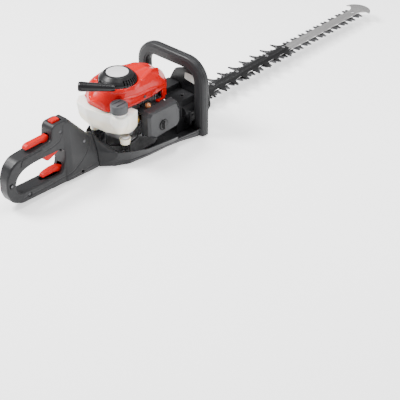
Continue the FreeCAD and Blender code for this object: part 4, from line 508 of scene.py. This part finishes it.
def fluted_nose(points, normals, keep, top_z):
    """Upright flutes down the front of the nose."""
    forward = ramp(points[:, 0] - FLUTE_REAR_X, 12)
    flutes = forward * ramp(top_z - FLUTE_BELOW_TOP - points[:, 2], 20)
    wave = 0.5 - 0.5 * np.cos(points[:, 1] / FLUTE_PITCH * 2 * math.pi)
    return points - normals * np.where(keep, FLUTE_DEPTH * flutes * wave, 0.0)[:, None]


def shape_shroud(item):
    """Rear flange, ridges to the nose, side creases, a rim, a starter collar and nose flutes."""
    mesh = item.data
    points, normals = vertices_of(mesh), normals_of(mesh)
    low, high = (np.array(corner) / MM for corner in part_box("fan_shroud"))
    away = points[:, :2] - np.array(COVER_MIDDLE)
    outer = (normals[:, 0] * away[:, 0] + normals[:, 1] * away[:, 1] > 0) | (normals[:, 2] > 0.35)
    keep = outer & (normals[:, 2] > -0.2)
    points = lower_rear(points, outer)
    points = ridged_top(points, normals, keep)
    for path, width, height in SIDE_CREASES:
        points = moved(points, normals, keep, ridge(distance_to_path(points, path), width, height))
    rim = np.abs(points[:, 2] - (low[2] + RIM_ABOVE_NOSE))
    points = moved(points, normals, keep, ridge(rim, 1.6, 0.8))
    collar = np.hypot(points[:, 0], points[:, 1]) - COLLAR_RADIUS
    points = moved(points, normals, keep & (points[:, 2] > COLLAR_FLOOR_Z), ridge(collar, 2.2, 1.6))
    points = fluted_nose(points, normals, keep, high[2])
    write_back(mesh, np.clip(points, low - COVER_SPARE, high + COVER_SPARE))


# ---------------------------------------------------------------- dark mouldings

TRAY_LINE_Z = 15.0
TRAY_LINE_SLOPE = 0.02
TRAY_REAR_HALF_WIDTH = 52
TRAY_FRONT_EXTRA = 26
TRAY_SPARE = 0.9


def shape_base(item):
    """A shadow line and a lower step along the tray's outer wall."""
    mesh = item.data
    points, normals = vertices_of(mesh), normals_of(mesh)
    low, high = (np.array(corner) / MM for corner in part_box("base_frame"))
    half_width = TRAY_REAR_HALF_WIDTH + ramp(points[:, 0] + 60, 130) * TRAY_FRONT_EXTRA
    wide = np.abs(points[:, 1]) > half_width
    keep = (np.abs(normals[:, 2]) < 0.75) & wide
    line = TRAY_LINE_Z + TRAY_LINE_SLOPE * points[:, 0]
    groove = ridge(points[:, 2] - line, 1.3, -1.3)
    step = 0.8 * ramp(line - points[:, 2], 2.0) * ramp(points[:, 2], 3.0)
    points = moved(points, normals, keep, groove + step)
    write_back(mesh, np.clip(points, low - TRAY_SPARE, high + TRAY_SPARE))


LOOP_FRONT_X = -240
TAPER_FRONT_X = -328
TAPER_SHARE = 0.22
# Each row is a path in the middle plane (x, z), then a height and a width.
FLANK_CREASES = (
    (((-104, 84), (-126, 70), (-150, 50), (-176, 34), (-196, 26), (-260, 24), (-330, 26)),
     -1.1, 1.5),
    (((-200, 166), (-204, 140), (-212, 128), (-236, 122), (-300, 118), (-336, 114)), -0.9, 1.3),
    (((-108, 24), (-140, 20), (-190, 16)), -0.9, 1.3),
)


def shape_rear_handle(item):
    """Panel creases on the flanks, a rounder section round the loop, and a narrower rear end."""
    mesh = item.data
    points, normals = vertices_of(mesh), normals_of(mesh)
    keep = (np.abs(normals[:, 1]) > 0.5) & (normals[:, 1] * points[:, 1] > 0)
    flat = points.copy()
    flat[:, 1] = 0
    for path, height, width in FLANK_CREASES:
        line = [(x, 0, z) for x, z in path]
        points = moved(points, normals, keep, ridge(distance_to_path(flat, line), width, height))
    outer = normals[:, 1] * points[:, 1] > 0
    along_loop = ramp(LOOP_FRONT_X - points[:, 0], 20)
    corner = 4 * normals[:, 1] ** 2 * (1 - normals[:, 1] ** 2) * along_loop
    points = points - normals * np.where(outer, 2.2 * corner, -1.4 * corner)[:, None]
    points[:, 1] *= 1 - TAPER_SHARE * ramp(TAPER_FRONT_X - points[:, 0], 45) ** 1.3
    write_back(mesh, points)


def parted(whole, node, side):
    """One half of a piece: what lies on one side of the middle plane, closed along its cut."""
    mesh = whole.data.copy()
    work = bmesh.new()
    work.from_mesh(mesh)
    everything = work.verts[:] + work.edges[:] + work.faces[:]
    result = bmesh.ops.bisect_plane(work, geom=everything, dist=0.000001, plane_co=(0, 0, 0),
                                    plane_no=(0, side, 0), clear_inner=True)
    rim = [part for part in result["geom_cut"] if isinstance(part, bmesh.types.BMEdge)]
    bmesh.ops.triangle_fill(work, use_beauty=True, use_dissolve=False, edges=rim,
                            normal=(0, -side, 0))
    for edge in work.edges:
        on_cut = any(abs(face.normal.y) > 0.999 for face in edge.link_faces)
        if len(edge.link_faces) == 2 and on_cut:
            edge.smooth = edge.calc_face_angle(0.0) < math.radians(50)
    work.to_mesh(mesh)
    work.free()
    return stands_for(new_object(node + "_shape", mesh), node)


def make_rear_handle():
    """Both halves relaxed as one moulding, so that the outside flows over the seam, then parted."""
    whole = copy_of("rear_handle_right", "rear_handle_whole")
    other = copy_of("rear_handle_left", "rear_handle_other")
    work = bmesh.new()
    work.from_mesh(whole.data)
    work.from_mesh(other.data)
    work.to_mesh(whole.data)
    work.free()
    bpy.data.objects.remove(other)
    relaxed(whole, 1.3, 16)
    shape_rear_handle(whole)
    whole.data.polygons.foreach_set("use_smooth", [True] * len(whole.data.polygons))
    parted(whole, "rear_handle_right", -1)
    parted(whole, "rear_handle_left", 1)
    bpy.data.objects.remove(whole)


ROPE_ROWS = 120
ROPE_SIDES = 24
STRANDS = 6
STRAND_TURN = 0.9
STRAND_RELIEF = 0.07


def make_rope():
    """Braided rope from the reel to the grip."""
    low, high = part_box("starter_rope")
    pull = next(Vector(row["axis"]) for row in frame["record"]["behaviour"]["joints"]
                if row["name"] == "starter_pull")
    radius = (high.z - low.z) / 2
    reach = ((high.x - low.x) - 2 * radius * abs(pull.y)) / abs(pull.x) / 2
    middle = (low + high) / 2
    side = Vector((-pull.y, pull.x, 0))
    rings = []
    for row in range(ROPE_ROWS + 1):
        centre = middle + pull * reach * (2 * row / ROPE_ROWS - 1)
        lay = row * STRAND_TURN
        ring = []
        for index in range(ROPE_SIDES):
            angle = 2 * math.pi * index / ROPE_SIDES
            relief = STRAND_RELIEF * math.cos(STRANDS * angle + lay) * math.cos(lay)
            size = radius * (0.97 + relief)
            point = centre + side * math.cos(angle) * size + Vector((0, 0, math.sin(angle) * size))
            ring.append(tuple(point / MM))
        rings.append(ring)
    item = smooth_shade(sweep("starter_rope_shape", rings), 80)
    item.data.materials.append(LOOKS["rope_cord"])
    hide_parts("starter_rope")
    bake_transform(item)


LOOP_INSET = 17.0
LOOP_HALF_THICKNESS = 16.9
LOOP_BEND = 46.0
LOOP_SQUARENESS = 3.2
GROOVE_ANGLES = (-58, -20, 20, 58, 122, 160, 200, 238)
GROOVE_DEPTH = 0.070
GROOVE_WIDTH = 0.060


def loop_spine(half, top, foot, bend):
    """Points (y, z) up one leg, over the loop and down the other, each with its way out."""
    spine = [((-half, z), (-1.0, 0.0)) for z in np.linspace(foot, top - bend, 10)]
    for angle in np.linspace(0, 90, 14)[1:]:
        out = (-math.cos(math.radians(angle)), math.sin(math.radians(angle)))
        spine.append(((-half + bend + bend * out[0], top - bend + bend * out[1]), out))
    spine += [((y, top), (0.0, 1.0)) for y in np.linspace(-half + bend, half - bend, 10)[1:]]
    for angle in np.linspace(90, 0, 14)[1:]:
        out = (math.cos(math.radians(angle)), math.sin(math.radians(angle)))
        spine.append(((half - bend + bend * out[0], top - bend + bend * out[1]), out))
    return spine + [((half, z), (1.0, 0.0)) for z in np.linspace(top - bend, foot, 10)[1:]]


def loop_section(thick, deep, sides=96):
    """Softly squared, grooved section, as (outwards, sideways) offsets."""
    section = []
    for index in range(sides):
        angle = 2 * math.pi * index / sides
        c, s = math.cos(angle), math.sin(angle)
        size = (abs(c) ** LOOP_SQUARENESS + abs(s) ** LOOP_SQUARENESS) ** (-1 / LOOP_SQUARENESS)
        for groove in GROOVE_ANGLES:
            gap = math.remainder(angle - math.radians(groove), 2 * math.pi)
            size *= 1 - GROOVE_DEPTH * math.exp(-(gap / GROOVE_WIDTH) ** 2)
        section.append((thick * size * c, deep * size * s))
    return section


def make_front_handle():
    """Loop with a softly squared section and long grooves along its grip."""
    low, high = (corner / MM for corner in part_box("front_handle"))
    middle_x = (low.x + high.x) / 2
    section = loop_section(LOOP_HALF_THICKNESS, (high.x - low.x) / 2 - 0.1)
    rings = []
    spine = loop_spine(high.y - LOOP_INSET, high.z - LOOP_INSET, low.z, LOOP_BEND)
    for (y, z), (out_y, out_z) in spine:
        rings.append([(middle_x + side, y + out_y * out, z + out_z * out) for out, side in section])
    item = sweep("front_handle_shape", rings)
    stands_for(smooth_shade(item, 70), "front_handle")


# Corners (y, z) on the guard's rear face.
LABEL_CORNERS = ((-20, 124), (-58, 118), (-52, 142), (-22, 143))
LABEL_SIDE_POINTS = 12
LABEL_CORNER_CUT = 1.5
# How far each ring stands proud of the face, and how far it is drawn in.
LABEL_STEPS = ((0.02, 0.0), (0.30, 0.0), (0.45, 0.8))


def label_outline(x, margin):
    """Ring round the label at one depth, moved inwards by a margin, with its corners cut back."""
    ring = []
    centre_y = sum(corner[0] for corner in LABEL_CORNERS) / 4
    centre_z = sum(corner[1] for corner in LABEL_CORNERS) / 4
    for index in range(4 * LABEL_SIDE_POINTS):
        side, part = divmod(index / LABEL_SIDE_POINTS, 1)
        start, end = LABEL_CORNERS[int(side)], LABEL_CORNERS[(int(side) + 1) % 4]
        y = start[0] + (end[0] - start[0]) * part - centre_y
        z = start[1] + (end[1] - start[1]) * part - centre_z
        cut_back = LABEL_CORNER_CUT * max(0.0, 1 - 8 * min(part, 1 - part))
        pull = 1 - (margin + cut_back) / math.hypot(y, z)
        ring.append((x, centre_y + y * pull, centre_z + z * pull))
    return ring


def make_label():
    """Blank pale label on the rear face of the hand guard."""
    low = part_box("hand_guard")[0] / MM
    rings = [label_outline(low.x - proud, margin) for proud, margin in LABEL_STEPS]
    item = sweep("guard_label", rings)
    add_detail(item, "chassis", "label_pale")


# ---------------------------------------------------------------- assembly

# Node, grid size (mm) and rounds of relaxing.
SMALL_MOULDINGS = (
    ("filter_cover", 0.9, 3), ("starter_grip", 0.9, 6), ("fuel_cap", 0.6, 4),
    ("throttle_trigger", 0.6, 6), ("throttle_lock", 0.6, 6), ("release_lever", 0.6, 6),
    ("stop_switch", 0.5, 4), ("choke_lever", 0.4, 3), ("filter_knob", 0.5, 3),
    ("clutch_housing", 1.2, 3),
)
# Node and the width (mm) its edges are rounded by.
BEVEL_WIDTHS = (
    ("hand_guard", 1.4), ("guide_bar", 0.4), ("blade_guard", 0.5), ("upper_blade", 0.3),
    ("lower_blade", 0.3), ("starter_badge", 0.5), ("gear_case", 1.2), ("crankcase", 1.2),
    ("carburettor", 0.8), ("muffler", 2.0), ("filter_base", 0.8), ("bar_bolts", 0.4),
)


def make_shells():
    """Every moulded piece, the rope and the label."""
    softened("fan_shroud", 1.2, 10, shape_shroud)
    softened("fuel_tank", 1.4, 48)
    softened("base_frame", 1.4, 5, shape_base)
    softened("front_deck", 1.3, 4)
    make_rear_handle()
    make_rope()
    softened("starter_cover", 0.6, 2, look="black_plastic")
    for node, voxel, rounds in SMALL_MOULDINGS:
        softened(node, voxel, rounds)
    make_front_handle()
    make_label()


def make_bevels():
    """The machined, cast and sheet pieces, which keep their CAD shape."""
    for node, width in BEVEL_WIDTHS:
        bevelled(node, width)


# ---------------------------------------------------------------- studio

def make_floor():
    """Pale paper floor, a little brighter than the light on it alone would make it."""
    mesh = bpy.data.meshes.new("floor")
    reach = 9.0
    corners = [(-reach, -reach, 0), (reach, -reach, 0), (reach, reach, 0), (-reach, reach, 0)]
    mesh.from_pydata(corners, [], [(0, 1, 2, 3)])
    floor = new_object("floor", mesh)
    g = Graph("floor_paper")
    tone = g.mix(g.noise(1.5), (0.92, 0.92, 0.92), (0.95, 0.95, 0.95))
    g.link(tone, g.shader.inputs["Base Color"])
    g.link(g.span(g.noise(3.0), 0.3, 0.7, 0.75, 0.85), g.shader.inputs["Roughness"])
    g.shader.inputs["Emission Color"].default_value = (1.0, 1.0, 1.0, 1.0)
    g.shader.inputs["Emission Strength"].default_value = 0.90
    mesh.materials.append(g.material)


def area_light(name, at, aim, size, power):
    """Rectangular lamp of a size (m) and power (W), turned towards a point."""
    lamp = bpy.data.lights.new(name, "AREA")
    lamp.shape = "RECTANGLE"
    lamp.size, lamp.size_y = size
    lamp.energy = power
    item = new_object(name, lamp)
    item.location = at
    item.rotation_euler = (Vector(aim) - Vector(at)).to_track_quat("-Z", "Y").to_euler()


def make_lights():
    """Soft white surroundings and three large lamps."""
    world = bpy.data.worlds.new("studio")
    world.use_nodes = True
    background = world.node_tree.nodes["Background"]
    background.inputs["Color"].default_value = (1.0, 1.0, 1.0, 1.0)
    background.inputs["Strength"].default_value = 0.62
    bpy.context.scene.world = world
    aim = (0.15, 0.0, 0.1)
    area_light("key_light", (-0.9, 1.3, 2.2), aim, (1.0, 1.0), 150)
    area_light("fill_light", (1.2, -2.0, 1.4), aim, (1.6, 1.0), 36)
    area_light("top_light", (0.3, -0.2, 2.6), aim, (1.8, 0.7), 62)


CAMERA_PLACE = (-1.813, -1.924, 1.636)
CAMERA_TURN = -47.62
CAMERA_RISE = 34.16
CAMERA_LENS = 111.2


def make_camera():
    """Camera behind and to the right of the machine, looking down at it."""
    turn, rise = math.radians(CAMERA_TURN), math.radians(CAMERA_RISE)
    level = math.cos(rise)
    back = Vector((math.sin(turn) * level, -math.cos(turn) * level, math.sin(rise)))
    data = bpy.data.cameras.new("camera")
    data.lens = CAMERA_LENS
    data.sensor_width = 36.0
    camera = new_object("camera", data)
    camera.location = CAMERA_PLACE
    camera.rotation_euler = back.to_track_quat("Z", "Y").to_euler()
    bpy.context.scene.camera = camera


make_camera()
make_shells()
make_bevels()
make_floor()
make_lights()
